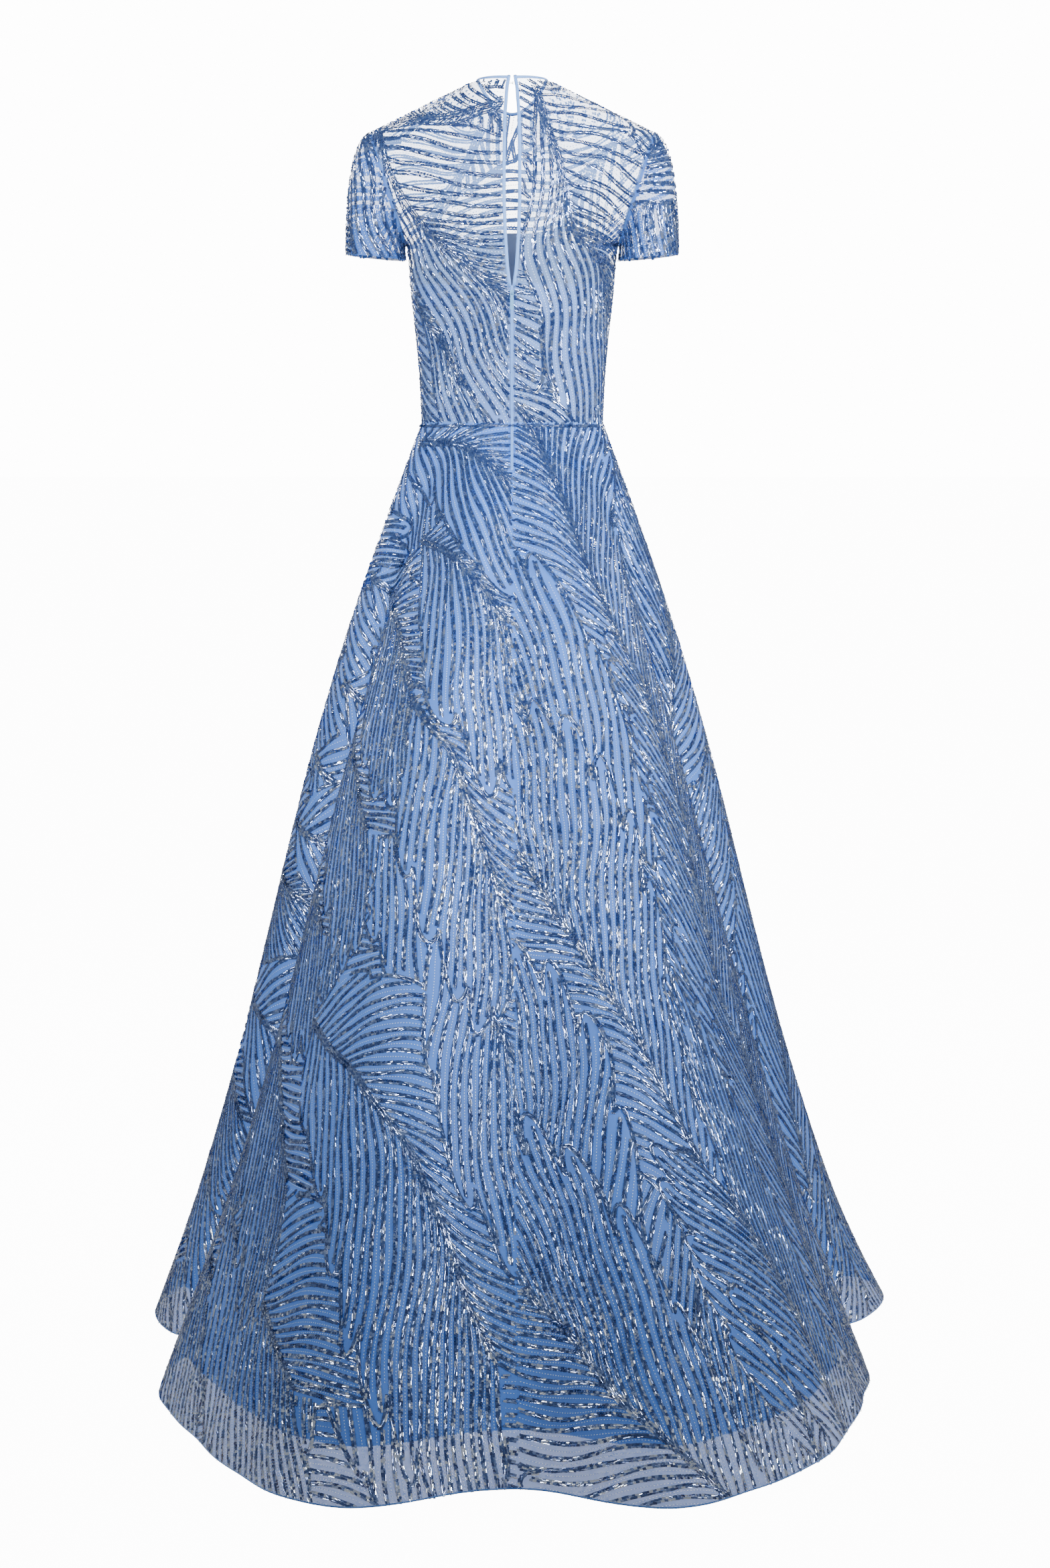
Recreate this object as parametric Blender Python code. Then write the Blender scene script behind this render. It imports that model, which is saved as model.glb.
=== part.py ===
"""A floor-length evening gown with a train, worn form with no wearer.

Units are metres and +Z is up. The wearer faces -Y and the wearer's left is +X. The origin is midway
between the two shoulder seams, where the wearer's shoulders hold the gown. Heights in the tables are
above the hem, and the whole gown is lowered by SHOULDER_HEIGHT when its points are made.
"""

from math import cos, pi, radians, sin

import bmesh
import bpy
from mathutils import Vector

# Driving dimensions
SHOULDER_HEIGHT = 1.515
WAIST_HEIGHT = 1.128
SEAM_GAP = 0.0003
NET_WALL = 0.0015
LINING_WALL = 0.001
LINING_STAND_OFF, LINING_STAND_OFF_BUST = 0.0012, 0.0024
LINING_TOP_BACK, LINING_TOP_SIDE, LINING_TOP_FRONT = 3.2, 3.35, 4.75
BINDING_WIDTH = 0.0042
BINDING_WALL = 0.0008
SLIT_BOTTOM = 1.292
ZIP_END = 1.077
SLEEVE_HEM_DEPTH = 0.025
LINING_HEM_RISE = 0.055

# Waist ellipse, shared by the bodice and the skirt
WAIST_HALF_WIDTH = 0.1105
WAIST_BACK = 0.084
WAIST_FRONT = 0.090

# Bodice levels from the waist to the neck, at the centre line of the back and of the front
BODICE_LEVEL_COLUMNS = ("name", "back_height", "back_depth", "front_height", "front_depth", "side_x")
BODICE_LEVELS = [
    ("waist", 1.128, 0.084, 1.128, 0.090, 0.1105),
    ("ribs", 1.185, 0.090, 1.185, 0.098, 0.1130),
    ("under_bust", 1.235, 0.098, 1.235, 0.111, 0.1175),
    ("bust", 1.285, 0.105, 1.285, 0.129, 0.1230),
    ("underarm", 1.345, 0.109, 1.340, 0.124, 0.1285),
    ("shoulder_blade", 1.385, 0.109, 1.375, 0.113, 0.1400),
    ("upper_chest", 1.425, 0.104, 1.410, 0.100, 0.1500),
    ("collar_bone", 1.462, 0.095, 1.440, 0.088, 0.1650),
    ("shoulder_tip", 1.492, 0.084, 1.466, 0.078, 0.1740),
    ("shoulder", 1.522, 0.069, 1.490, 0.067, 0.1100),
    ("neck", 1.549, 0.052, 1.512, 0.057, 0.0400),
]
UNDERARM_LEVEL, SHOULDER_LEVEL, NECK_LEVEL = 4, 8, 10
SHOULDER_TIP = (0.173, 0.0, 1.483)
UNDERARM = (0.1285, 0.0, 1.345)
NECK_POINT = (0.040, 0.0, 1.548)
ARMHOLE_HALF_DEPTH = 0.050
ROUND_SHARE = 0.55

# Bust cups: how far they stand out, and where
BUST_FULLNESS, BUST_X, BUST_HEIGHT, BUST_SPREAD = 0.016, 0.072, 1.290, 0.048

# Half width of the open slit at the centre back, by height
SLIT_COLUMNS = ("height", "half_width")
SLIT_ROWS = [
    (1.292, 0.0003),
    (1.318, 0.0036),
    (1.360, 0.0062),
    (1.400, 0.0075),
    (1.450, 0.0073),
    (1.500, 0.0064),
    (1.535, 0.0040),
    (1.550, 0.0014),
]

# Sleeve hem ellipse, on the wearer's left
SLEEVE_HEM_CENTRE = (0.1680, -0.002, 1.3310)
SLEEVE_HEM_HALF_WIDTH, SLEEVE_HEM_HALF_DEPTH = 0.0355, 0.056
SLEEVE_GAP_TOP, SLEEVE_GAP_UNDER = 0.0012, 0.0026

# Folds of the skirt in order round the gown from the centre back, towards the wearer's left:
# where each starts on the waist, in degrees from the centre back, where it ends on the hem, and how
# much further out the last of the hem kicks; fullness rounds the fold out half-way down
FOLD_COLUMNS = ("name", "waist_angle", "hem_x", "hem_y", "hem_kick", "fullness")
FOLDS = [
    ("centre_back", 0, -0.008, 0.812, 0.000, 0.000),
    ("train_crest_left", 12, 0.178, 0.884, 0.000, 0.000),
    ("train_corner_left", 20, 0.300, 0.735, 0.000, 0.000),
    ("train_flank_left", 27, 0.384, 0.505, 0.000, 0.000),
    ("train_edge_left", 34, 0.412, 0.320, 0.000, 0.000),
    ("train_turn_left", 42, 0.392, 0.175, 0.000, 0.000),
    ("side_valley_left", 52, 0.366, 0.130, 0.000, 0.010),
    ("side_back_left", 64, 0.420, 0.085, 0.003, 0.022),
    ("side_crest_left", 79, 0.450, -0.035, 0.004, 0.025),
    ("side_front_left", 95, 0.430, -0.175, 0.004, 0.020),
    ("front_valley_left", 110, 0.362, -0.235, 0.000, 0.010),
    ("front_flank_left", 124, 0.325, -0.345, 0.000, 0.000),
    ("front_crest_left", 137, 0.235, -0.415, 0.000, 0.000),
    ("front_dip_left", 158, 0.115, -0.385, 0.000, 0.000),
    ("centre_front", 180, 0.000, -0.425, 0.000, 0.000),
    ("front_dip_right", 201, -0.105, -0.390, 0.000, 0.000),
    ("front_crest_right", 221, -0.225, -0.425, 0.000, 0.000),
    ("front_flank_right", 236, -0.330, -0.350, 0.000, 0.000),
    ("front_valley_right", 250, -0.372, -0.255, 0.000, 0.000),
    ("side_front_right", 264, -0.448, -0.225, 0.012, 0.000),
    ("side_crest_right", 279, -0.463, -0.110, 0.016, 0.000),
    ("side_back_right", 295, -0.430, 0.010, 0.012, 0.000),
    ("side_valley_right", 308, -0.380, 0.085, 0.000, 0.000),
    ("train_turn_right", 318, -0.402, 0.170, 0.000, 0.000),
    ("train_edge_right", 326, -0.424, 0.310, 0.000, 0.000),
    ("train_flank_right", 333, -0.392, 0.510, 0.000, 0.000),
    ("train_corner_right", 340, -0.312, 0.740, 0.000, 0.000),
    ("train_crest_right", 348, -0.176, 0.886, 0.000, 0.000),
]
LEFT_SEAM, RIGHT_SEAM = 8.7, 19.7
BODICE_COLUMNS, BODICE_ROWS = 8, (5, 8, 3)
BACK_COLUMNS, FRONT_COLUMNS = 26, 33
WAIST_LEVEL_GAP, WAIST_ROW_GAP = 0.003, 0.00014
SKIRT_ROWS = (WAIST_ROW_GAP, 0.12, 0.28, 0.46, 0.65, 0.84, 0.93, 1.0)
HIP_ROUNDING = 0.032
KICK_START = 0.84

# Colours, linear
NET_BLUE = (0.11, 0.27, 0.60)
LINING_BLUE = (0.24, 0.43, 0.78)
BINDING_BLUE = (0.30, 0.50, 0.80)
ZIP_BLUE = (0.20, 0.44, 0.74)
HOOK_STEEL = (0.30, 0.30, 0.32)


def clear_scene():
    for item in list(bpy.data.objects):
        bpy.data.objects.remove(item)


def make_material(name, colour, roughness, metallic=0.0):
    material = bpy.data.materials.new(name)
    material.use_nodes = True
    shader = material.node_tree.nodes["Principled BSDF"]
    shader.inputs["Base Color"].default_value = (*colour, 1.0)
    shader.inputs["Roughness"].default_value = roughness
    shader.inputs["Metallic"].default_value = metallic
    return material


def add_object(name, mesh, material):
    mesh.materials.append(material)
    item = bpy.data.objects.new(name, mesh)
    bpy.context.scene.collection.objects.link(item)
    return item


def smooth_between(before, start, end, after, share):
    """Catmull-Rom value between start and end."""
    slope_in, slope_out = (end - before) / 2, (after - start) / 2
    squared, cubed = share * share, share * share * share
    return (
        (2 * cubed - 3 * squared + 1) * start
        + (cubed - 2 * squared + share) * slope_in
        + (3 * squared - 2 * cubed) * end
        + (cubed - squared) * slope_out
    )


def open_value(values, place):
    """Smooth value at a fractional place in a list with two ends."""
    last = len(values) - 1
    low = min(max(int(place), 0), last - 1)
    before = values[low - 1] if low else 2 * values[0] - values[1]
    after = values[low + 2] if low + 2 <= last else 2 * values[last] - values[last - 1]
    return smooth_between(before, values[low], values[low + 1], after, place - low)


def ring_value(values, place):
    """Smooth value at a fractional place in a list that closes on itself."""
    count = len(values)
    low = int(place // 1)
    picked = [values[(low + step) % count] for step in (-1, 0, 1, 2)]
    return smooth_between(*picked, place - low)


def bezier(start, start_handle, end_handle, end, share):
    rest = 1 - share
    return (
        start * rest**3
        + start_handle * (3 * rest * rest * share)
        + end_handle * (3 * rest * share * share)
        + end * share**3
    )


def lowered(x, y, height):
    return Vector((x, y, height - SHOULDER_HEIGHT))


def slit_half_width(height):
    if height <= SLIT_ROWS[0][0]:
        return SEAM_GAP / 2
    for (low, narrow), (high, wide) in zip(SLIT_ROWS, SLIT_ROWS[1:]):
        if height <= high:
            share = (height - low) / (high - low)
            return narrow + (wide - narrow) * share * share * (3 - 2 * share) if wide > narrow \
                else narrow + (wide - narrow) * share
    return SLIT_ROWS[-1][1]


def bodice_column(column):
    index = BODICE_LEVEL_COLUMNS.index(column)
    return [row[index] for row in BODICE_LEVELS]


def bodice_edge(face, level):
    """Outer end of a bodice level: side seam, then armhole, then shoulder seam."""
    if level <= UNDERARM_LEVEL:
        height = open_value(bodice_column("back_height"), level)
        return Vector((open_value(bodice_column("side_x"), level), 0.0, height))
    if level <= SHOULDER_LEVEL:
        return armhole_point(face, (level - UNDERARM_LEVEL) / (SHOULDER_LEVEL - UNDERARM_LEVEL))
    share = (level - SHOULDER_LEVEL) / (NECK_LEVEL - SHOULDER_LEVEL)
    return Vector(SHOULDER_TIP).lerp(Vector(NECK_POINT), share)


def armhole_point(face, share):
    """Armhole seam from the underarm (0) to the shoulder tip (1), on the back or the front."""
    turn = pi * share
    middle = (Vector(UNDERARM) + Vector(SHOULDER_TIP)) / 2
    reach = (Vector(SHOULDER_TIP) - Vector(UNDERARM)) / 2
    return middle - reach * cos(turn) + Vector((0, face * ARMHOLE_HALF_DEPTH * sin(turn), 0))


def bodice_point(face, level, across):
    """Point of the bodice's inner face. face is 1 on the back and -1 on the front, and across runs
    from the centre line (0) to the side, armhole or shoulder (1) on the wearer's left."""
    side = "back" if face > 0 else "front"
    height = open_value(bodice_column(side + "_height"), level)
    depth = face * open_value(bodice_column(side + "_depth"), level)
    start_x = slit_half_width(height) if face > 0 else 0.0
    centre = Vector((start_x, depth, height))
    edge = bodice_edge(face, level)
    in_armhole = (level - UNDERARM_LEVEL) / (SHOULDER_LEVEL - UNDERARM_LEVEL)
    turned_back = 0.25 * sin(pi * in_armhole) if 0 < in_armhole < 1 else 0.0
    width = edge.x - start_x
    centre_handle = centre + Vector((width * ROUND_SHARE, 0, 0))
    edge_handle = edge + Vector((-width * turned_back, (depth - edge.y) * ROUND_SHARE, 0))
    point = bezier(centre, centre_handle, edge_handle, edge, across)
    if face < 0:
        away = ((point.x - BUST_X) ** 2 + (point.z - BUST_HEIGHT) ** 2) / BUST_SPREAD**2
        reach = BUST_FULLNESS * 2.718281828 ** (-away)
        edge_fade = min(1.0, 4 * across * (1 - across)) ** 0.5 if across > 0.5 else 1.0
        point.y -= reach * edge_fade
    return lowered(*point)


def mirrored(side, point):
    return Vector((side * point.x, point.y, point.z))


def sleeve_point(round_share, down):
    """Point of the left sleeve's inner face. round_share goes once round from the underarm by the
    back to the shoulder tip (0.5) and back by the front; down runs from the armhole to the hem."""
    turn = 2 * pi * round_share
    face = 1 if round_share <= 0.5 else -1
    share = 2 * round_share if round_share <= 0.5 else 2 - 2 * round_share
    under = ((1 + cos(turn)) / 2) ** 2
    seam = armhole_point(face, share) + Vector((SLEEVE_GAP_TOP + SLEEVE_GAP_UNDER * under, 0, 0))
    centre = Vector(SLEEVE_HEM_CENTRE)
    hem = centre + Vector(
        (-SLEEVE_HEM_HALF_WIDTH * cos(turn), SLEEVE_HEM_HALF_DEPTH * sin(turn), 0.0035 * -cos(turn))
    )
    top = (1 - cos(turn)) / 2
    puff = 0.010 + 0.016 * top
    seam_handle = seam + Vector((puff * (0.35 + 0.65 * top), face * 0.002 * sin(pi * share), -0.010 * top))
    hem_handle = hem + Vector((0.001 * top, 0, 0.006 + 0.050 * top))
    return lowered(*bezier(seam, seam_handle, hem_handle, hem, down))


def fold_column(column):
    index = FOLD_COLUMNS.index(column)
    return [row[index] for row in FOLDS]


def waist_angle(place):
    """Angle on the waist, which keeps growing past the last fold."""
    angles = fold_column("waist_angle")
    count = len(angles)
    low = int(place // 1)
    picked = [angles[(low + step) % count] + 360 * ((low + step) // count) for step in (-1, 0, 1, 2)]
    return radians(smooth_between(*picked, place - low))


def waist_point(angle):
    depth = WAIST_BACK if cos(angle) > 0 else WAIST_FRONT
    return Vector((WAIST_HALF_WIDTH * sin(angle), depth * cos(angle), WAIST_HEIGHT))


def skirt_point(place, down):
    """Point of the skirt's inner face. place counts folds round the gown, and down runs from the
    waist (0) to the hem (1)."""
    top = waist_point(waist_angle(place))
    hem_x = ring_value(fold_column("hem_x"), place)
    hem_y = ring_value(fold_column("hem_y"), place)
    fullness = ring_value(fold_column("fullness"), place)
    spread = down + HIP_ROUNDING * sin(2 * pi * down) + fullness * sin(pi * down)
    kick = ring_value(fold_column("hem_kick"), place)
    kick *= max(0.0, (down - KICK_START) / (1 - KICK_START)) ** 2
    outward = Vector((hem_x, hem_y, 0)).normalized() * kick
    return lowered(
        top.x + (hem_x - top.x) * spread + outward.x,
        top.y + (hem_y - top.y) * spread + outward.y,
        WAIST_HEIGHT * (1 - down),
    )


def outward_normal(surface, u, v, flip, step=1e-3):
    """Unit normal of a surface, from its slopes. flip turns it to point out of the gown."""
    along_u = surface(u + step, v) - surface(u - step, v)
    along_v = surface(u, v + step) - surface(u, v - step)
    return along_u.cross(along_v).normalized() * flip


def spaced(start, end, count):
    return [start + (end - start) * step / count for step in range(count + 1)]


def shell(name, surface, u_values, v_values, inner, outer, material, flip, closed=False, level_row=None):
    """A wall of cloth on a surface, between two distances from it. inner and outer are numbers or
    functions of v. A closed shell joins its last column of points to its first. The wall of the
    level row, at a seam, goes straight out."""
    if closed:
        u_values = u_values[:-1]
    layers = []
    for distance in (outer, inner):
        layer = []
        for v in v_values:
            offset = distance(v) if callable(distance) else distance
            row = []
            for u in u_values:
                normal = outward_normal(surface, u, v, flip)
                if v == level_row:
                    normal = Vector((normal.x, normal.y, 0)).normalized()
                row.append(surface(u, v) + normal * offset)
            layer.append(row)
        layers.append(layer)
    mesh = bmesh.new()
    outside, inside = ([[mesh.verts.new(point) for point in row] for row in layer] for layer in layers)
    rows, columns = len(v_values), len(u_values)
    steps = columns if closed else columns - 1
    for row in range(rows - 1):
        for column in range(steps):
            after = (column + 1) % columns
            for layer, turn in ((outside, 1), (inside, -1)):
                first, across = layer[row][column], layer[row + 1][after]
                mesh.faces.new((first, layer[row][after], across)[::turn])
                mesh.faces.new((first, across, layer[row + 1][column])[::turn])
    for column in range(steps):
        after = (column + 1) % columns
        for row in (0, rows - 1):
            mesh.faces.new(
                (outside[row][column], outside[row][after], inside[row][after], inside[row][column])
            )
    if not closed:
        for row in range(rows - 1):
            for column in (0, columns - 1):
                mesh.faces.new(
                    (
                        outside[row][column],
                        outside[row + 1][column],
                        inside[row + 1][column],
                        inside[row][column],
                    )
                )
    bmesh.ops.recalc_face_normals(mesh, faces=mesh.faces)
    data = bpy.data.meshes.new(name)
    mesh.to_mesh(data)
    mesh.free()
    data.shade_smooth()
    data.set_sharp_from_angle(angle=radians(40))
    return add_object(name, data, material)


def level_at_height(height):
    """Bodice level whose centre back lies at a height."""
    low, high = 0.0, float(NECK_LEVEL)
    for _ in range(40):
        middle = (low + high) / 2
        if open_value(bodice_column("back_height"), middle) < height:
            low = middle
        else:
            high = middle
    return (low + high) / 2


def back_surface(side):
    return lambda across, level: mirrored(side, bodice_point(1, level, across))


def front_surface(across, level):
    """The whole front: across runs from the wearer's right side (-1) to the left side (1)."""
    point = bodice_point(-1, level, abs(across))
    return point if across >= 0 else mirrored(-1, point)


def gapped_levels(low, high, steps_each):
    """Levels of a panel, with a row on each corner of its outline, in from both ends by the gap."""
    ends = [low + WAIST_LEVEL_GAP, *[c for c in (UNDERARM_LEVEL, SHOULDER_LEVEL) if low < c < high], high]
    values = [ends[0]]
    for start, end, steps in zip(ends, ends[1:], steps_each):
        values += spaced(start, end, steps)[1:]
    return values


def make_bodice(net):
    """Front, cut on the fold, and two backs that part at the slit."""
    edge_share = 0.9985
    levels = gapped_levels(0, NECK_LEVEL, BODICE_ROWS)
    for side, name in ((1, "bodice_back_left"), (-1, "bodice_back_right")):
        shell(
            name,
            back_surface(side),
            spaced(0.0, edge_share, BODICE_COLUMNS),
            levels,
            0.0,
            NET_WALL,
            net,
            -side,
            level_row=levels[0],
        )
    shell(
        "bodice_front",
        front_surface,
        spaced(-edge_share, edge_share, 2 * BODICE_COLUMNS),
        levels,
        0.0,
        NET_WALL,
        net,
        1,
        level_row=levels[0],
    )


def make_sleeves(net):
    """Set-in short sleeves, each with the hem turned up inside."""
    for side, name in ((1, "left"), (-1, "right")):
        def surface(round_share, down, side=side):
            return mirrored(side, sleeve_point(round_share % 1.0, down))

        rows = spaced(0, 1, 5)
        shell(
            "sleeve_" + name, surface, spaced(0, 1, 32), rows, 0.0, NET_WALL, net, -side,
            closed=True,
        )
        shell(
            "sleeve_hem_" + name, surface, spaced(0, 1, 32), rows[-2:],
            -SEAM_GAP - BINDING_WALL, -SEAM_GAP, net, -side, closed=True,
        )


def make_skirt(net):
    """One front and two backs, which part at the side seams and the centre back."""
    side_gap, centre_gap = 0.004, 0.001
    count = len(FOLDS)
    panels = (
        ("skirt_back_left", centre_gap, LEFT_SEAM - side_gap, BACK_COLUMNS),
        ("skirt_front", LEFT_SEAM + side_gap, RIGHT_SEAM - side_gap, FRONT_COLUMNS),
        ("skirt_back_right", RIGHT_SEAM + side_gap, count - centre_gap, BACK_COLUMNS),
    )
    for name, start, end, columns in panels:
        shell(name, skirt_point, spaced(start, end, columns), SKIRT_ROWS, 0.0, NET_WALL, net, 1, level_row=WAIST_ROW_GAP)


def make_lining(lining):
    """Strapless bodice lining and a skirt lining that stops short of the hem. The tops of the
    bodice lining are bodice levels."""
    inner, outer = -LINING_STAND_OFF - LINING_WALL, -LINING_STAND_OFF
    low = 2 * WAIST_LEVEL_GAP
    levels = [low, *spaced(0, LINING_TOP_BACK, BODICE_ROWS[0] - 1)[1:]]
    for side, name in ((1, "lining_back_left"), (-1, "lining_back_right")):
        shell(
            name, back_surface(side), spaced(0.004, 0.997, BODICE_COLUMNS), levels, inner, outer,
            lining, -side, level_row=low,
        )

    def bust_outer(row):
        """The lining leaves the seam at the waist and stands further in under the bust."""
        return -LINING_STAND_OFF - (LINING_STAND_OFF_BUST - LINING_STAND_OFF) * min(1.0, row)

    def front_lining(across, row):
        """Level rows, then two that rise from the side seams to a top edge across the chest."""
        last = len(levels) - 1
        if row <= last:
            start = max(0, min(int(row), last - 1))
            return front_surface(across, levels[start] + (levels[start + 1] - levels[start]) * (row - start))
        rise = max(0.0, 1 - abs(across) ** 2.2)
        top = LINING_TOP_SIDE + (LINING_TOP_FRONT - LINING_TOP_SIDE) * rise
        return front_surface(across, levels[last] + (top - levels[last]) * (row - last) / 2)

    shell(
        "lining_front", front_lining, spaced(-0.994, 0.994, 2 * BODICE_COLUMNS),
        [float(row) for row in range(len(levels) + 2)], lambda row: bust_outer(row) - LINING_WALL,
        bust_outer, lining, 1, level_row=0.0,
    )

    def hanging(down):
        """The skirt lining hangs a little further in than the net below the waist."""
        return -LINING_STAND_OFF - 0.002 * min(1.0, down * 4)

    def hanging_inner(down):
        return hanging(down) - LINING_WALL

    rows = [row for row in SKIRT_ROWS[1:] if row < 0.9]
    rows = [2 * WAIST_ROW_GAP, *rows, 1 - LINING_HEM_RISE / WAIST_HEIGHT]
    side_gap = 0.006
    right = spaced(RIGHT_SEAM - len(FOLDS) + side_gap, 0.0, BACK_COLUMNS)
    left = spaced(0.0, LEFT_SEAM - side_gap, BACK_COLUMNS)
    front = spaced(LEFT_SEAM + side_gap, RIGHT_SEAM - side_gap, FRONT_COLUMNS)
    for name, columns in (("lining_skirt_back", right + left[1:]), ("lining_skirt_front", front)):
        shell(name, skirt_point, columns, rows, hanging_inner, hanging, lining, 1, level_row=rows[0])


def make_bindings(binding):
    """Narrow bindings on the neck edge and on both sides of the slit, laid on the panels."""
    inner, outer = NET_WALL + SEAM_GAP, NET_WALL + SEAM_GAP + BINDING_WALL
    top = NECK_LEVEL - 0.30
    start = level_at_height(SLIT_BOTTOM + 0.004)
    for side, name in ((1, "slit_binding_left"), (-1, "slit_binding_right")):
        def strip(share, level, side=side):
            """share runs over the width of the binding, which is the same at every level."""
            edge = bodice_edge(1, level).x
            return mirrored(side, bodice_point(1, level, share * BINDING_WIDTH / (1.62 * edge)))

        shell(name, strip, spaced(0, 1, 2), spaced(start, top, 18), inner, outer, binding, -side)

    def neck(round_share, level):
        """round_share runs from the left side of the slit round the front to the right side."""
        quarter = 4 * round_share
        if quarter <= 1:
            return bodice_point(1, level, quarter)
        if quarter >= 3:
            return mirrored(-1, bodice_point(1, level, 4 - quarter))
        return front_surface(2 - quarter, level)

    shell(
        "neck_binding", neck, spaced(0.002, 0.998, 32), spaced(top + 0.03, NECK_LEVEL, 1),
        inner, outer, binding, -1,
    )


def centre_back(height):
    """Point and normal of the outer face at the centre back, on the bodice or the skirt."""
    if height >= WAIST_HEIGHT:
        level = level_at_height(height)
        point = bodice_point(1, level, 0.0)
        normal = outward_normal(back_surface(1), 0.02, level, -1)
    else:
        down = 1 - height / WAIST_HEIGHT
        point = skirt_point(0.0, down)
        normal = outward_normal(skirt_point, 0.0, down, 1)
    point.x = 0.0
    normal.x = 0.0
    return point, normal.normalized()


def make_zip(tape, painted):
    """Lapped zip strip down the centre back, its slider, and a pull tab that swings."""
    half_width, strip_wall = 0.0022, 0.0010
    low = NET_WALL + 2 * SEAM_GAP
    heights = [*spaced(SLIT_BOTTOM - 0.001, WAIST_HEIGHT + 0.003, 14), *spaced(WAIST_HEIGHT - 0.003, ZIP_END, 5)]
    mesh = bmesh.new()
    rings = []
    for height in heights:
        point, normal = centre_back(height)
        ring = [
            mesh.verts.new(point + Vector((x, 0, 0)) + normal * out)
            for x, out in (
                (-half_width, low),
                (-half_width, low + strip_wall * 0.6),
                (0.0, low + strip_wall),
                (half_width, low + strip_wall * 0.6),
                (half_width, low),
            )
        ]
        rings.append(ring)
    for upper, lower in zip(rings, rings[1:]):
        for corner in range(5):
            after = (corner + 1) % 5
            mesh.faces.new((upper[corner], upper[after], lower[after], lower[corner]))
    mesh.faces.new(rings[0])
    mesh.faces.new(rings[-1])
    bmesh.ops.recalc_face_normals(mesh, faces=mesh.faces)
    data = bpy.data.meshes.new("zip_strip")
    mesh.to_mesh(data)
    mesh.free()
    add_object("zip_strip", data, tape)
    make_slider(painted, low + strip_wall + SEAM_GAP)


# Slider and pull tab
SLIDER_HEIGHT = 1.2845
SLIDER_SIZE = (0.0046, 0.0012, 0.0085)
BRIDGE_INNER, BRIDGE_OUTER, BRIDGE_HALF_WIDTH = 0.00075, 0.00150, 0.0007
TAB_BAR_RADIUS = 0.0004
TAB_HEAD_HALF_WIDTH, TAB_TAIL_HALF_WIDTH = 0.0020, 0.0024
TAB_LENGTH, TAB_HOLE_HALF_WIDTH, TAB_HOLE_END = 0.0200, 0.00105, 0.0020


def make_slider(painted, stand_off):
    point, _ = centre_back(SLIDER_HEIGHT)
    upper, _ = centre_back(SLIDER_HEIGHT + SLIDER_SIZE[2] / 2)
    lower, _ = centre_back(SLIDER_HEIGHT - SLIDER_SIZE[2] / 2)
    back = max(point.y, upper.y, lower.y) + stand_off + 0.0002
    front = back + SLIDER_SIZE[1]
    z = point.z
    body = bmesh.new()
    made = bmesh.ops.create_cube(body, size=1.0)
    bmesh.ops.scale(body, vec=SLIDER_SIZE, verts=made["verts"])
    bmesh.ops.translate(body, vec=(0, (back + front) / 2, z), verts=made["verts"])
    upright = [edge for edge in body.edges if abs(edge.verts[0].co.y - edge.verts[1].co.y) > 1e-4]
    bmesh.ops.bevel(
        body, geom=upright, offset=0.0012, offset_type="OFFSET", segments=3, profile=0.5,
        affect="EDGES", material=-1,
    )
    data = bpy.data.meshes.new("zip_slider")
    body.to_mesh(data)
    body.free()
    slider = add_object("zip_slider", data, painted)
    pivot = Vector((0.0, front + BRIDGE_INNER, z))
    bridge = make_bridge(pivot, front)
    join = slider.modifiers.new("bridge", "BOOLEAN")
    join.operation = "UNION"
    join.object = bridge
    make_tab(painted, pivot)


def make_bridge(pivot, front):
    """Half ring over the tab's bar, with straight legs that run into the slider's body."""
    legs_end = front - 0.0004
    outline = []
    for radius, turns in ((BRIDGE_OUTER, range(0, 9)), (BRIDGE_INNER, range(8, -1, -1))):
        arc = [
            (pivot.y + radius * sin(pi * turn / 8), pivot.z + radius * cos(pi * turn / 8))
            for turn in turns
        ]
        end_z = [arc[0][1], arc[-1][1]]
        outline += [(legs_end, end_z[0]), *arc, (legs_end, end_z[1])]
    bridge = bmesh.new()
    corners = [bridge.verts.new((-BRIDGE_HALF_WIDTH, y, z)) for y, z in outline]
    face = bridge.faces.new(corners)
    pushed = bmesh.ops.extrude_face_region(bridge, geom=[face])
    moved = [part for part in pushed["geom"] if isinstance(part, bmesh.types.BMVert)]
    bmesh.ops.translate(bridge, vec=(2 * BRIDGE_HALF_WIDTH, 0, 0), verts=moved)
    bmesh.ops.recalc_face_normals(bridge, faces=bridge.faces)
    data = bpy.data.meshes.new("bridge_cutter")
    bridge.to_mesh(data)
    bridge.free()
    return helper("bridge_cutter", data)


def helper(name, data):
    item = bpy.data.objects.new(name, data)
    bpy.context.scene.collection.objects.link(item)
    item.hide_render = True
    item.display_type = "WIRE"
    return item


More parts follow.
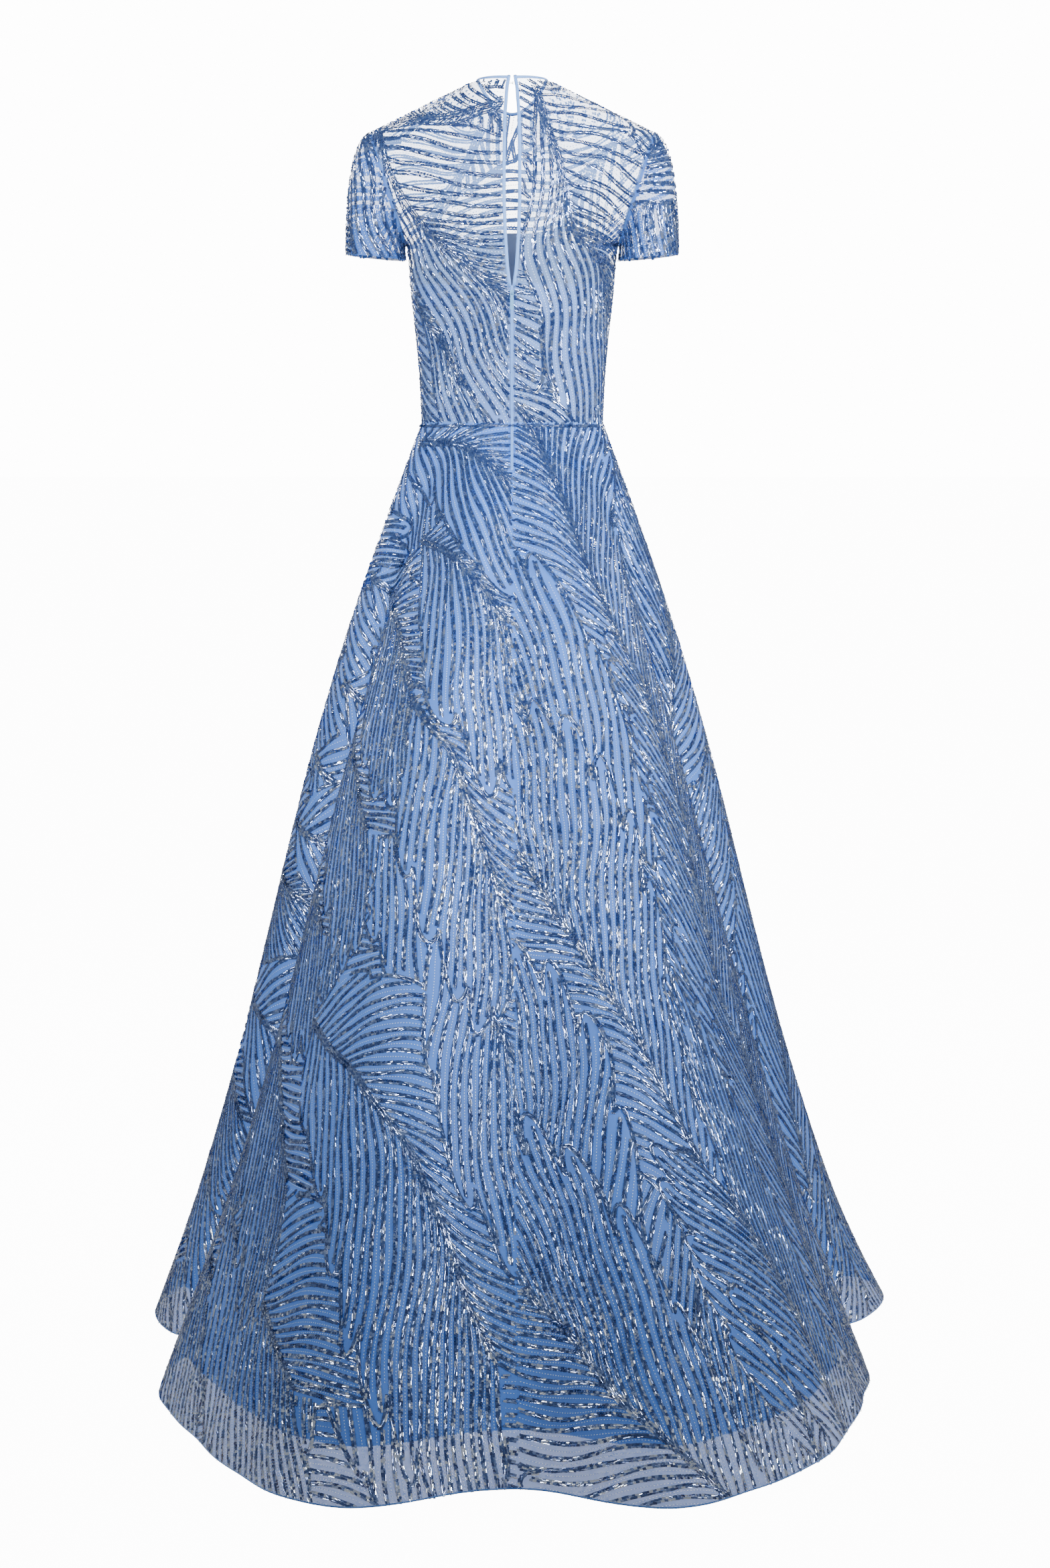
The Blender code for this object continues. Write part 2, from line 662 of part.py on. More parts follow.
def make_tab(painted, pivot):
    """Teardrop pull tab, with a slot that the slider's bridge passes through."""
    steps = 10
    top = TAB_BAR_RADIUS
    outline = [(-TAB_HEAD_HALF_WIDTH, top), (TAB_HEAD_HALF_WIDTH, top)]
    tail_centre = -TAB_LENGTH + TAB_TAIL_HALF_WIDTH
    outline += [
        (TAB_TAIL_HALF_WIDTH * cos(pi * step / steps), tail_centre - TAB_TAIL_HALF_WIDTH * sin(pi * step / steps))
        for step in range(steps + 1)
    ]
    tab = bmesh.new()
    face = tab.faces.new([tab.verts.new((x, -TAB_BAR_RADIUS, z)) for x, z in outline])
    pushed = bmesh.ops.extrude_face_region(tab, geom=[face])
    moved = [part for part in pushed["geom"] if isinstance(part, bmesh.types.BMVert)]
    bmesh.ops.translate(tab, vec=(0, 2 * TAB_BAR_RADIUS, 0), verts=moved)
    bmesh.ops.recalc_face_normals(tab, faces=tab.faces)
    data = bpy.data.meshes.new("zip_pull")
    tab.to_mesh(data)
    tab.free()
    pull = add_object("zip_pull", data, painted)
    pull.location = pivot
    slot = bmesh.new()
    made = bmesh.ops.create_cube(slot, size=1.0)
    length = TAB_HOLE_END - TAB_BAR_RADIUS
    bmesh.ops.scale(slot, vec=(2 * TAB_HOLE_HALF_WIDTH, 0.004, length), verts=made["verts"])
    bmesh.ops.translate(slot, vec=(0, 0, -TAB_BAR_RADIUS - length / 2), verts=made["verts"])
    cutter_data = bpy.data.meshes.new("slot_cutter")
    slot.to_mesh(cutter_data)
    slot.free()
    cutter = helper("slot_cutter", cutter_data)
    cutter.location = pivot
    cut = pull.modifiers.new("slot", "BOOLEAN")
    cut.operation = "DIFFERENCE"
    cut.object = cutter


def make_wire(name, points, radius, material):
    curve = bpy.data.curves.new(name, "CURVE")
    curve.dimensions = "3D"
    curve.bevel_depth = radius
    curve.bevel_resolution = 1
    curve.use_fill_caps = True
    spline = curve.splines.new("POLY")
    spline.points.add(len(points) - 1)
    for target, point in zip(spline.points, points):
        target.co = (*point, 1.0)
    curve.materials.append(material)
    item = bpy.data.objects.new(name, curve)
    bpy.context.scene.collection.objects.link(item)


def make_hook_and_eye(steel):
    """Wire hook on the wearer's left of the slit, closed round an eye on the right, at the neck."""
    height, wire, bend, under = 1.5410, 0.0003, 0.0010, 0.0006
    level = level_at_height(height)
    point = bodice_point(1, level, 0.0)
    normal = outward_normal(back_surface(1), 0.0, level, -1)
    up = Vector((1, 0, 0)).cross(normal)
    if up.z < 0:
        up = -up

    def place(x, out, rise):
        base = Vector((x, point.y, point.z))
        return base + normal * out + up * rise

    eye_x = -0.0004
    low_arm = -under - 2 * bend
    hook = [place(0.0062, low_arm, 0), place(0.0040, low_arm, 0), place(0.0016, low_arm, 0)]
    hook += [
        place(eye_x - bend * sin(pi * step / 8), -under - bend - bend * cos(pi * step / 8), 0)
        for step in range(9)
    ]
    hook += [place(0.0012, -under, 0), place(0.0030, -under, 0)]
    make_wire("neck_hook", hook, wire, steel)
    eye_out, eye_half = -under - bend, 0.0016
    corner = 0.0006
    eye = [place(-0.0062, eye_out, eye_half), place(-0.0030, eye_out, eye_half)]
    for turn_centre, start in (((eye_x - corner, eye_half - corner), 0), ((eye_x - corner, corner - eye_half), 1)):
        for step in range(4):
            angle = pi / 2 * (1 - start) - pi / 2 * step / 3
            eye.append(place(turn_centre[0] + corner * cos(angle), eye_out, turn_centre[1] + corner * sin(angle)))
    eye += [place(-0.0030, eye_out, -eye_half), place(-0.0062, eye_out, -eye_half)]
    make_wire("neck_eye", eye, wire, steel)


def build():
    clear_scene()
    net = make_material("embroidered_net", NET_BLUE, 0.45)
    lining = make_material("lining_satin", LINING_BLUE, 0.5)
    binding = make_material("binding", BINDING_BLUE, 0.6)
    zip_tape = make_material("zip_tape", ZIP_BLUE, 0.6)
    painted = make_material("zip_paint", ZIP_BLUE, 0.35)
    steel = make_material("hook_wire", HOOK_STEEL, 0.35, metallic=1.0)
    make_bodice(net)
    make_sleeves(net)
    make_skirt(net)
    make_lining(lining)
    make_bindings(binding)
    make_zip(zip_tape, painted)
    make_hook_and_eye(steel)


build()
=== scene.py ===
"""Looks for a floor-length gown of embroidered net with a short train, in worn form.

The wearer faces -Y and the gown's back, with its slit and zip, faces +Y. Heights in the tables are
above the hem. Cloth pieces follow the same section and fold tables as the solids. The embroidery is
laid out flat, on the opened-out shape of each panel, and then carried on to the hanging cloth.
"""

from functools import partial
from math import atan, cos, pi, radians, sin

import bmesh
import bpy
import numpy as np
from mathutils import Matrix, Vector


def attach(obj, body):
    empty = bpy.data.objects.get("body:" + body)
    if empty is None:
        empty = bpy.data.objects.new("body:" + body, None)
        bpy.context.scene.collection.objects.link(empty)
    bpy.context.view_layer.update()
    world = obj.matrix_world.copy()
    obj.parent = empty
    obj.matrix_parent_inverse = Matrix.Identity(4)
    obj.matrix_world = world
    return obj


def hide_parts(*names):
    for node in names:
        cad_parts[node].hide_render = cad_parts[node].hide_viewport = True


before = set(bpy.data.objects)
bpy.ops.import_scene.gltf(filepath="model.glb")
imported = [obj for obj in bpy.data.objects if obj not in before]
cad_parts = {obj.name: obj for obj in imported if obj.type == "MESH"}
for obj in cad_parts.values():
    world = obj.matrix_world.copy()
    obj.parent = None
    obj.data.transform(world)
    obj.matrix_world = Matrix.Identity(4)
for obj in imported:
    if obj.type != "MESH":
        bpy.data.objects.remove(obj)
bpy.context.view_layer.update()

# ---------------------------------------------------------------- sizes shared with the solids
SHOULDER_HEIGHT, WAIST_HEIGHT = 1.515, 1.128
BINDING_WIDTH = 0.0042
WAIST_HALF_WIDTH, WAIST_BACK, WAIST_FRONT = 0.1105, 0.084, 0.090
BODICE = {
    "back_height": (1.128, 1.185, 1.235, 1.285, 1.345, 1.385, 1.425, 1.462, 1.492, 1.522, 1.549),
    "back_depth": (0.084, 0.090, 0.098, 0.105, 0.109, 0.109, 0.104, 0.095, 0.084, 0.069, 0.052),
    "front_height": (1.128, 1.185, 1.235, 1.285, 1.340, 1.375, 1.410, 1.440, 1.466, 1.490, 1.512),
    "front_depth": (0.090, 0.098, 0.111, 0.129, 0.124, 0.113, 0.100, 0.088, 0.078, 0.067, 0.057),
    "side_x": (0.1105, 0.1130, 0.1175, 0.1230, 0.1285, 0.140, 0.150, 0.165, 0.174, 0.110, 0.040),
}
UNDERARM_LEVEL, SHOULDER_LEVEL, NECK_LEVEL = 4, 8, 10
SHOULDER_TIP = (0.173, 0.0, 1.483)
UNDERARM = (0.1285, 0.0, 1.345)
NECK_POINT = (0.040, 0.0, 1.548)
ARMHOLE_HALF_DEPTH, ROUND_SHARE = 0.050, 0.55
BUST_FULLNESS, BUST_X, BUST_HEIGHT, BUST_SPREAD = 0.016, 0.072, 1.290, 0.048
SLIT_HEIGHTS = (1.200, 1.292, 1.318, 1.360, 1.400, 1.450, 1.500, 1.535, 1.550)
SLIT_HALF_WIDTHS = (0.00015, 0.0003, 0.0036, 0.0062, 0.0075, 0.0073, 0.0064, 0.0040, 0.0014)
SLEEVE_HEM_CENTRE = (0.1680, -0.002, 1.3310)
SLEEVE_HEM_HALF_WIDTH, SLEEVE_HEM_HALF_DEPTH = 0.0355, 0.056
SLEEVE_HEM_TILT, SLEEVE_GAP_TOP, SLEEVE_GAP_UNDER = 0.0035, 0.0012, 0.0026
LINING_TOP_BACK, LINING_TOP_SIDE, LINING_TOP_FRONT = 3.2, 3.35, 4.75
LINING_HEM_RISE, LINING_FOOT = 0.055, 0.006
SLIT_BOTTOM, ZIP_END = 1.292, 1.077

# waist angle from the centre back, hem x, hem y, kick at the hem, fullness half-way down
FOLDS = np.array(
    [
        (0, -0.008, 0.812, 0.000, 0.000),
        (12, 0.178, 0.884, 0.000, 0.000),
        (20, 0.300, 0.735, 0.000, 0.000),
        (27, 0.384, 0.505, 0.000, 0.000),
        (34, 0.412, 0.320, 0.000, 0.000),
        (42, 0.392, 0.175, 0.000, 0.000),
        (52, 0.366, 0.130, 0.000, 0.010),
        (64, 0.420, 0.085, 0.003, 0.022),
        (79, 0.450, -0.035, 0.004, 0.025),
        (95, 0.430, -0.175, 0.004, 0.020),
        (110, 0.362, -0.235, 0.000, 0.010),
        (124, 0.325, -0.345, 0.000, 0.000),
        (137, 0.235, -0.415, 0.000, 0.000),
        (158, 0.115, -0.385, 0.000, 0.000),
        (180, 0.000, -0.425, 0.000, 0.000),
        (201, -0.105, -0.390, 0.000, 0.000),
        (221, -0.225, -0.425, 0.000, 0.000),
        (236, -0.330, -0.350, 0.000, 0.000),
        (250, -0.372, -0.255, 0.000, 0.000),
        (264, -0.448, -0.225, 0.012, 0.000),
        (279, -0.463, -0.110, 0.016, 0.000),
        (295, -0.430, 0.010, 0.012, 0.000),
        (308, -0.380, 0.085, 0.000, 0.000),
        (318, -0.402, 0.170, 0.000, 0.000),
        (326, -0.424, 0.310, 0.000, 0.000),
        (333, -0.392, 0.510, 0.000, 0.000),
        (340, -0.312, 0.740, 0.000, 0.000),
        (348, -0.176, 0.886, 0.000, 0.000),
    ]
)
LEFT_SEAM, RIGHT_SEAM, FOLD_COUNT = 8.7, 19.7, 28
HIP_ROUNDING, KICK_START = 0.032, 0.84

# Small creases between the large folds: place, half width in places, start, depth at the hem
CREASES = (
    (0.35, 0.30, 0.30, -0.006),
    (1.60, 0.35, 0.45, 0.007),
    (2.55, 0.30, 0.55, -0.006),
    (3.50, 0.40, 0.35, 0.006),
    (4.60, 0.30, 0.50, -0.005),
    (9.50, 0.35, 0.30, 0.006),
    (12.4, 0.40, 0.40, -0.007),
    (14.6, 0.45, 0.25, 0.006),
    (17.5, 0.40, 0.45, -0.006),
    (21.6, 0.35, 0.35, 0.005),
    (24.5, 0.35, 0.50, -0.006),
    (25.6, 0.35, 0.30, 0.007),
    (26.5, 0.30, 0.55, -0.006),
    (27.5, 0.32, 0.40, 0.006),
)


# ---------------------------------------------------------------- curves and surfaces
def smooth_between(before, start, end, after, share):
    """Catmull-Rom value between start and end."""
    squared, cubed = share * share, share * share * share
    return (
        (2 * cubed - 3 * squared + 1) * start
        + (cubed - 2 * squared + share) * (end - before) / 2
        + (3 * squared - 2 * cubed) * end
        + (cubed - squared) * (after - start) / 2
    )


def open_value(values, place):
    """Smooth value at fractional places in a list with two ends."""
    values = np.asarray(values, float)
    padded = np.concatenate(
        ([2 * values[0] - values[1]], values, [2 * values[-1] - values[-2]])
    )
    low = np.clip(np.asarray(place).astype(int), 0, len(values) - 2)
    share = place - low
    return smooth_between(padded[low], padded[low + 1], padded[low + 2], padded[low + 3], share)


def ring_value(values, place):
    """Smooth value at fractional places in a list that closes on itself."""
    count = len(values)
    low = np.floor(place).astype(int)
    picked = [values[(low + step) % count] for step in (-1, 0, 1, 2)]
    return smooth_between(*picked, place - low)


def bezier(start, start_handle, end_handle, end, share):
    share = share[:, None]
    rest = 1 - share
    return (
        start * rest**3
        + start_handle * (3 * rest * rest * share)
        + end_handle * (3 * rest * share * share)
        + end * share**3
    )


def columns_of(*parts):
    """Points from separate x, y and z values."""
    return np.stack(np.broadcast_arrays(*parts), axis=-1).astype(float)


def lowered(points):
    return points - (0.0, 0.0, SHOULDER_HEIGHT)


def armhole_point(face, share):
    """Armhole seam from the underarm (0) to the shoulder tip (1)."""
    tip, under = np.array(SHOULDER_TIP), np.array(UNDERARM)
    turn = pi * share
    middle = (tip + under) / 2 - ((tip - under) / 2) * np.cos(turn)[:, None]
    middle[:, 1] += face * ARMHOLE_HALF_DEPTH * np.sin(turn)
    return middle


def bodice_point(face, across, level):
    """Inner face of the bodice. face is 1 on the back and -1 on the front; across runs from the
    centre line (0) to the side, armhole or shoulder (1), and below 0 on the wearer's right."""
    side = np.where(across < 0, -1.0, 1.0)
    across = np.abs(across)
    name = "back" if face > 0 else "front"
    height = open_value(BODICE[name + "_height"], level)
    depth = face * open_value(BODICE[name + "_depth"], level)
    start = np.interp(height, SLIT_HEIGHTS, SLIT_HALF_WIDTHS) if face > 0 else np.zeros_like(height)
    below = columns_of(
        open_value(BODICE["side_x"], level), 0.0, open_value(BODICE["back_height"], level)
    )
    in_armhole = (level - UNDERARM_LEVEL) / (SHOULDER_LEVEL - UNDERARM_LEVEL)
    armhole = armhole_point(face, np.clip(in_armhole, 0, 1))
    share = ((level - SHOULDER_LEVEL) / (NECK_LEVEL - SHOULDER_LEVEL))[:, None]
    shoulder = np.array(SHOULDER_TIP) * (1 - share) + np.array(NECK_POINT) * share
    edge = np.where((level <= UNDERARM_LEVEL)[:, None], below, armhole)
    edge = np.where((level > SHOULDER_LEVEL)[:, None], shoulder, edge)
    turned_back = 0.25 * np.sin(pi * np.clip(in_armhole, 0, 1))
    width = edge[:, 0] - start
    centre = columns_of(start, depth, height)
    centre_handle = centre + columns_of(width * ROUND_SHARE, 0.0, 0.0)
    edge_handle = edge + columns_of(-width * turned_back, (depth - edge[:, 1]) * ROUND_SHARE, 0.0)
    point = bezier(centre, centre_handle, edge_handle, edge, across)
    if face < 0:
        away = ((point[:, 0] - BUST_X) ** 2 + (point[:, 2] - BUST_HEIGHT) ** 2) / BUST_SPREAD**2
        fade = np.sqrt(np.clip(4 * across * (1 - across), 0, 1))
        point[:, 1] -= BUST_FULLNESS * np.exp(-away) * np.where(across > 0.5, fade, 1.0)
    point[:, 0] *= side
    return lowered(point)


def sleeve_point(side, round_share, down):
    """Inner face of a sleeve. round_share goes once round from the underarm by the back."""
    round_share = round_share % 1.0
    turn = 2 * pi * round_share
    back = round_share <= 0.5
    face = np.where(back, 1.0, -1.0)
    share = np.where(back, 2 * round_share, 2 - 2 * round_share)
    seam = armhole_point(1, share)
    seam[:, 1] *= face
    under = ((1 + np.cos(turn)) / 2) ** 2
    seam[:, 0] += SLEEVE_GAP_TOP + SLEEVE_GAP_UNDER * under
    hem = np.array(SLEEVE_HEM_CENTRE) + columns_of(
        -SLEEVE_HEM_HALF_WIDTH * np.cos(turn),
        SLEEVE_HEM_HALF_DEPTH * np.sin(turn),
        -SLEEVE_HEM_TILT * np.cos(turn),
    )
    top = (1 - np.cos(turn)) / 2
    puff = 0.010 + 0.016 * top
    seam_handle = seam + columns_of(
        puff * (0.35 + 0.65 * top), face * 0.002 * np.sin(pi * share), -0.010 * top
    )
    hem_handle = hem + columns_of(0.001 * top, 0.0, 0.006 + 0.050 * top)
    point = bezier(seam, seam_handle, hem_handle, hem, down)
    point[:, 0] *= side
    return lowered(point)


def waist_point(angle):
    depth = np.where(np.cos(angle) > 0, WAIST_BACK, WAIST_FRONT)
    return columns_of(WAIST_HALF_WIDTH * np.sin(angle), depth * np.cos(angle), WAIST_HEIGHT)


def waist_angle(place):
    low = np.floor(place).astype(int)
    picked = [
        FOLDS[(low + step) % FOLD_COUNT, 0] + 360 * ((low + step) // FOLD_COUNT)
        for step in (-1, 0, 1, 2)
    ]
    return np.radians(smooth_between(*picked, place - low))


def crease_depth(place, down):
    """Soft troughs and ridges between the large folds."""
    depth = np.zeros_like(down)
    for middle, half_width, start, reach in CREASES:
        away = (place - middle + FOLD_COUNT / 2) % FOLD_COUNT - FOLD_COUNT / 2
        grown = np.clip((down - start) / (1 - start), 0, 1) ** 1.5
        depth += reach * grown * np.exp(-((away / half_width) ** 2) * 2)
    return depth


def skirt_point(place, down):
    """Inner face of the skirt. place counts folds round the gown, down runs from waist to hem."""
    top = waist_point(waist_angle(place))
    hem_x, hem_y, kick, fullness = (ring_value(FOLDS[:, column], place) for column in (1, 2, 3, 4))
    spread = down + HIP_ROUNDING * np.sin(2 * pi * down) + fullness * np.sin(pi * down)
    kick = kick * np.clip((down - KICK_START) / (1 - KICK_START), 0, 2) ** 2
    kick = (kick + crease_depth(place, down)) / np.hypot(hem_x, hem_y)
    return lowered(
        columns_of(
            top[:, 0] + (hem_x - top[:, 0]) * spread + hem_x * kick,
            top[:, 1] + (hem_y - top[:, 1]) * spread + hem_y * kick,
            WAIST_HEIGHT * (1 - down),
        )
    )


def run_along(points, axis=0):
    """Length run along a line or a grid of points, from 0 at its start."""
    steps = np.linalg.norm(np.diff(points, axis=axis), axis=-1)
    return np.insert(np.cumsum(steps, axis=axis), 0, 0.0, axis=axis)


def unit(vectors):
    return vectors / (np.linalg.norm(vectors, axis=1, keepdims=True) + 1e-12)


def share_of(bounds, share):
    return bounds[0] + (bounds[1] - bounds[0]) * share


def portion(bounds, value):
    """Where a value lies between two bounds, from 0 to 1."""
    return (value - bounds[0]) / (bounds[1] - bounds[0])


SPOTS_AT_ONCE = 20000


class Panel:
    """A cut piece of cloth: its hanging surface, and its opened-out flat shape seen from outside.

    u and v are the surface's own measures; u runs to the right as seen from outside and v runs
    down. upright is the share of the way across where the flat shape hangs straight down."""

    def __init__(self, name, surface, u_range, v_range, upright, closed):
        self.name, self.surface, self.closed = name, surface, closed
        self.u_range, self.v_range, self.upright = u_range, v_range, upright
        self.unfold()

    def grid(self, columns, rows):
        """Points of the hanging surface, row by row."""
        u, v = np.meshgrid(np.linspace(*self.u_range, columns), np.linspace(*self.v_range, rows))
        return self.surface(u.ravel(), v.ravel()).reshape(rows, columns, 3)

    def unfold(self, columns=181, rows=61):
        """Lays the strips between neighbouring u lines side by side on the table."""
        points = self.grid(columns, rows)
        length, (top, bottom) = run_along(points)[-1], points[[0, -1]]
        flat_top, flat_bottom = np.zeros((columns, 2)), np.zeros((columns, 2))
        flat_bottom[0] = (0.0, -length[0])
        for column in range(columns - 1):
            a, b = flat_top[column], flat_bottom[column]
            along = (b - a) / max(length[column], 1e-6)
            right = np.array((-along[1], along[0]))
            wide_top = np.linalg.norm(top[column + 1] - top[column])
            wide_bottom = np.linalg.norm(bottom[column + 1] - bottom[column])
            turn = (wide_bottom - wide_top) / max((length[column] + length[column + 1]) / 2, 1e-6)
            flat_top[column + 1] = a + right * wide_top
            new_along = along * cos(turn) + right * sin(turn)
            flat_bottom[column + 1] = flat_top[column + 1] + new_along * length[column + 1]
        upright = int(self.upright * (columns - 1))
        along = flat_bottom[upright] - flat_top[upright]
        angle = np.arctan2(along[0], -along[1])
        turn = np.array(((cos(angle), sin(angle)), (-sin(angle), cos(angle))))
        origin = flat_top[upright].copy()
        self.flat_top = (flat_top - origin) @ turn.T
        self.flat_bottom = (flat_bottom - origin) @ turn.T

    def to_flat(self, u, v):
        """Flat place of surface points."""
        last = len(self.flat_top) - 1
        column = np.clip(portion(self.u_range, u), 0, 1) * last
        low = np.clip(column.astype(int), 0, last - 1)
        share = (column - low)[:, None]
        top = self.flat_top[low] * (1 - share) + self.flat_top[low + 1] * share
        bottom = self.flat_bottom[low] * (1 - share) + self.flat_bottom[low + 1] * share
        return top + (bottom - top) * portion(self.v_range, v)[:, None]

    def from_flat(self, spots):
        """u, v and whether each flat spot lies on the piece."""
        parts = np.array_split(spots, len(spots) // SPOTS_AT_ONCE + 1)
        return [np.concatenate(found) for found in zip(*map(self.part_from_flat, parts))]

    def part_from_flat(self, spots):
        along, last = self.flat_bottom - self.flat_top, len(self.flat_top) - 1
        away = spots[:, None, :] - self.flat_top[None]
        side = along[None, :, 0] * away[..., 1] - along[None, :, 1] * away[..., 0]
        low = np.clip((side > 0).sum(axis=1) - 1, 0, last - 1)
        rows = np.arange(len(spots))
        near, far = side[rows, low], side[rows, low + 1]
        share = near / np.where(np.abs(near - far) < 1e-12, 1, near - far)
        top = self.flat_top[low] + (self.flat_top[low + 1] - self.flat_top[low]) * share[:, None]
        run = along[low] + (along[low + 1] - along[low]) * share[:, None]
        down = ((spots - top) * run).sum(axis=1) / (run * run).sum(axis=1)
        place = (low + share) / last
        inside = (place > 0) & (place < 1) & (down > 0) & (down < 1) & (near >= 0) & (far <= 0)
        return share_of(self.u_range, place), share_of(self.v_range, down), inside

    def frame_at(self, u, v, out=0.0):
        """Points moved out from the surface, and the outward normals there."""
        span_u, span_v = ((end - start) * 1e-4 for start, end in (self.u_range, self.v_range))
        along_u = self.surface(u + span_u, v) - self.surface(u - span_u, v)
        along_v = self.surface(u, v + span_v) - self.surface(u, v - span_v)
        normal = unit(np.cross(along_v, along_u))
        return self.surface(u, v) + normal * out, normal

    def area(self):
        outline = np.concatenate((self.flat_top, self.flat_bottom[::-1]))
        x, y = outline[:, 0], outline[:, 1]
        return abs(np.dot(x, np.roll(y, -1)) - np.dot(y, np.roll(x, -1))) / 2

    def corners(self):
        return np.concatenate((self.flat_top, self.flat_bottom))

    def flat_size(self):
        return np.ptp(self.corners(), axis=0)


class RowPanel(Panel):
    """A piece opened out row by row, from the upright line, which stays straight."""

    def unfold(self, columns=121, rows=91):
        points = self.grid(columns, rows)
        middle = int(round(self.upright * (columns - 1)))
        self.x = run_along(points, axis=1)
        self.x -= self.x[:, middle : middle + 1]
        self.y = -run_along(points[:, middle])
        even = np.linspace(0, 1, columns)
        self.u_share = np.array(
            [np.interp(row[0] + (row[-1] - row[0]) * even, row, even) for row in self.x]
        )

    def sample(self, table, column, row):
        """Value of a table of rows and columns at shares of the way across and down it."""
        column = np.clip(column, 0, 1) * (table.shape[1] - 1)
        row = np.clip(row, 0, 1) * (table.shape[0] - 1)
        left = np.clip(column.astype(int), 0, table.shape[1] - 2)
        top = np.clip(row.astype(int), 0, table.shape[0] - 2)
        over, under = column - left, row - top
        upper = table[top, left] * (1 - over) + table[top, left + 1] * over
        lower = table[top + 1, left] * (1 - over) + table[top + 1, left + 1] * over
        return upper * (1 - under) + lower * under

    def to_flat(self, u, v):
        row = portion(self.v_range, v)
        y = np.interp(np.clip(row, 0, 1) * (len(self.y) - 1), np.arange(len(self.y)), self.y)
        return np.stack((self.sample(self.x, portion(self.u_range, u), row), y), axis=1)

    def from_flat(self, spots):
        row = np.interp(-spots[:, 1], -self.y, np.linspace(0, 1, len(self.y)))
        left, right = (self.sample(self.x, np.full(len(spots), end), row) for end in (0.0, 1.0))
        share = (spots[:, 0] - left) / (right - left)
        column = self.sample(self.u_share, share, row)
        inside = (share > 0) & (share < 1) & (spots[:, 1] < 0) & (spots[:, 1] > self.y[-1])
        return share_of(self.u_range, column), share_of(self.v_range, row), inside

    def corners(self):
        return np.array(((self.x.min(), self.y[-1]), (self.x.max(), 0.0)))

    def area(self):
        wide = self.x[:, -1] - self.x[:, 0]
        return float(np.sum((wide[1:] + wide[:-1]) / 2 * -np.diff(self.y)))


class ColumnPanel(RowPanel):
    """A piece opened out column by column, standing on its lower edge, which is laid straight."""

    def unfold(self, columns=121, rows=61):
        points = self.grid(columns, rows)
        self.x = run_along(points[-1])
        self.x -= self.x[columns // 2]
        self.length = run_along(points)
        self.deep = self.length[-1].max()
        even = np.linspace(0, 1, rows)
        self.v_share = np.stack(
            [np.interp(even, column / column[-1], even) for column in self.length.T], axis=1
        )

    def to_flat(self, u, v):
        column = portion(self.u_range, u)
        x = np.interp(column * (len(self.x) - 1), np.arange(len(self.x)), self.x)
        left = self.sample(self.length, column, np.ones(len(u)))
        down = self.sample(self.length, column, portion(self.v_range, v))
        return np.stack((x, left - down - self.deep), axis=1)

    def from_flat(self, spots):
        column = np.interp(spots[:, 0], self.x, np.linspace(0, 1, len(self.x)))
        length = self.sample(self.length, column, np.ones(len(spots)))
        share = 1 - (spots[:, 1] + self.deep) / length
        row = self.sample(self.v_share, column, share)
        inside = (share > 0) & (share < 1) & (spots[:, 0] > self.x[0]) & (spots[:, 0] < self.x[-1])
        return share_of(self.u_range, column), share_of(self.v_range, row), inside

    def corners(self):
        return np.array(((self.x[0], -self.deep), (self.x[-1], 0.0)))

    def area(self):
        length = self.length[-1]
        return float(np.sum((length[1:] + length[:-1]) / 2 * np.diff(self.x)))


def lining_surface(face, top_of, u, v):
    """Bodice surface with v running from a shaped top edge (0) to the waist (1)."""
    return bodice_point(face, u, LINING_FOOT + (top_of(np.abs(u)) - LINING_FOOT) * (1 - v))


def front_top(across):
    rise = LINING_TOP_FRONT - LINING_TOP_SIDE
    return LINING_TOP_SIDE + rise * np.clip(1 - across**2.2, 0, 1)


def right_back(u, v):
    return bodice_point(1, -np.maximum(u, 1e-9), v)


def right_back_lining(u, v):
    return left_back_lining(-u, v)


left_back_lining = partial(lining_surface, 1, lambda across: LINING_TOP_BACK + 0 * across)
left_back, front = partial(bodice_point, 1), partial(bodice_point, -1)
front_lining = partial(lining_surface, -1, front_top)
left_sleeve, right_sleeve = partial(sleeve_point, 1), partial(sleeve_point, -1)
SKIRT_DROP, LINING_DROP = (0.0001, 1.0), (0.0003, 1 - LINING_HEM_RISE / WAIST_HEIGHT)
FROM_NECK, WHOLE, HEM = (NECK_LEVEL, 0.003), (0, 1), (0.8, 1)
# Places just short of the side seam and just past the centre line, on the net and on the lining
SIDE, CENTRE, LINING_SIDE, LINING_MID, FRONT_SIDE = 0.9985, 1e-6, 0.997, 0.004, 0.994
# The skirt linings meet a little past the side seams
LAP = 0.002
BACK_WIDTH = (LEFT_SEAM - LAP, RIGHT_SEAM - FOLD_COUNT + LAP)
FRONT_WIDTH = (RIGHT_SEAM - LAP, LEFT_SEAM + LAP)

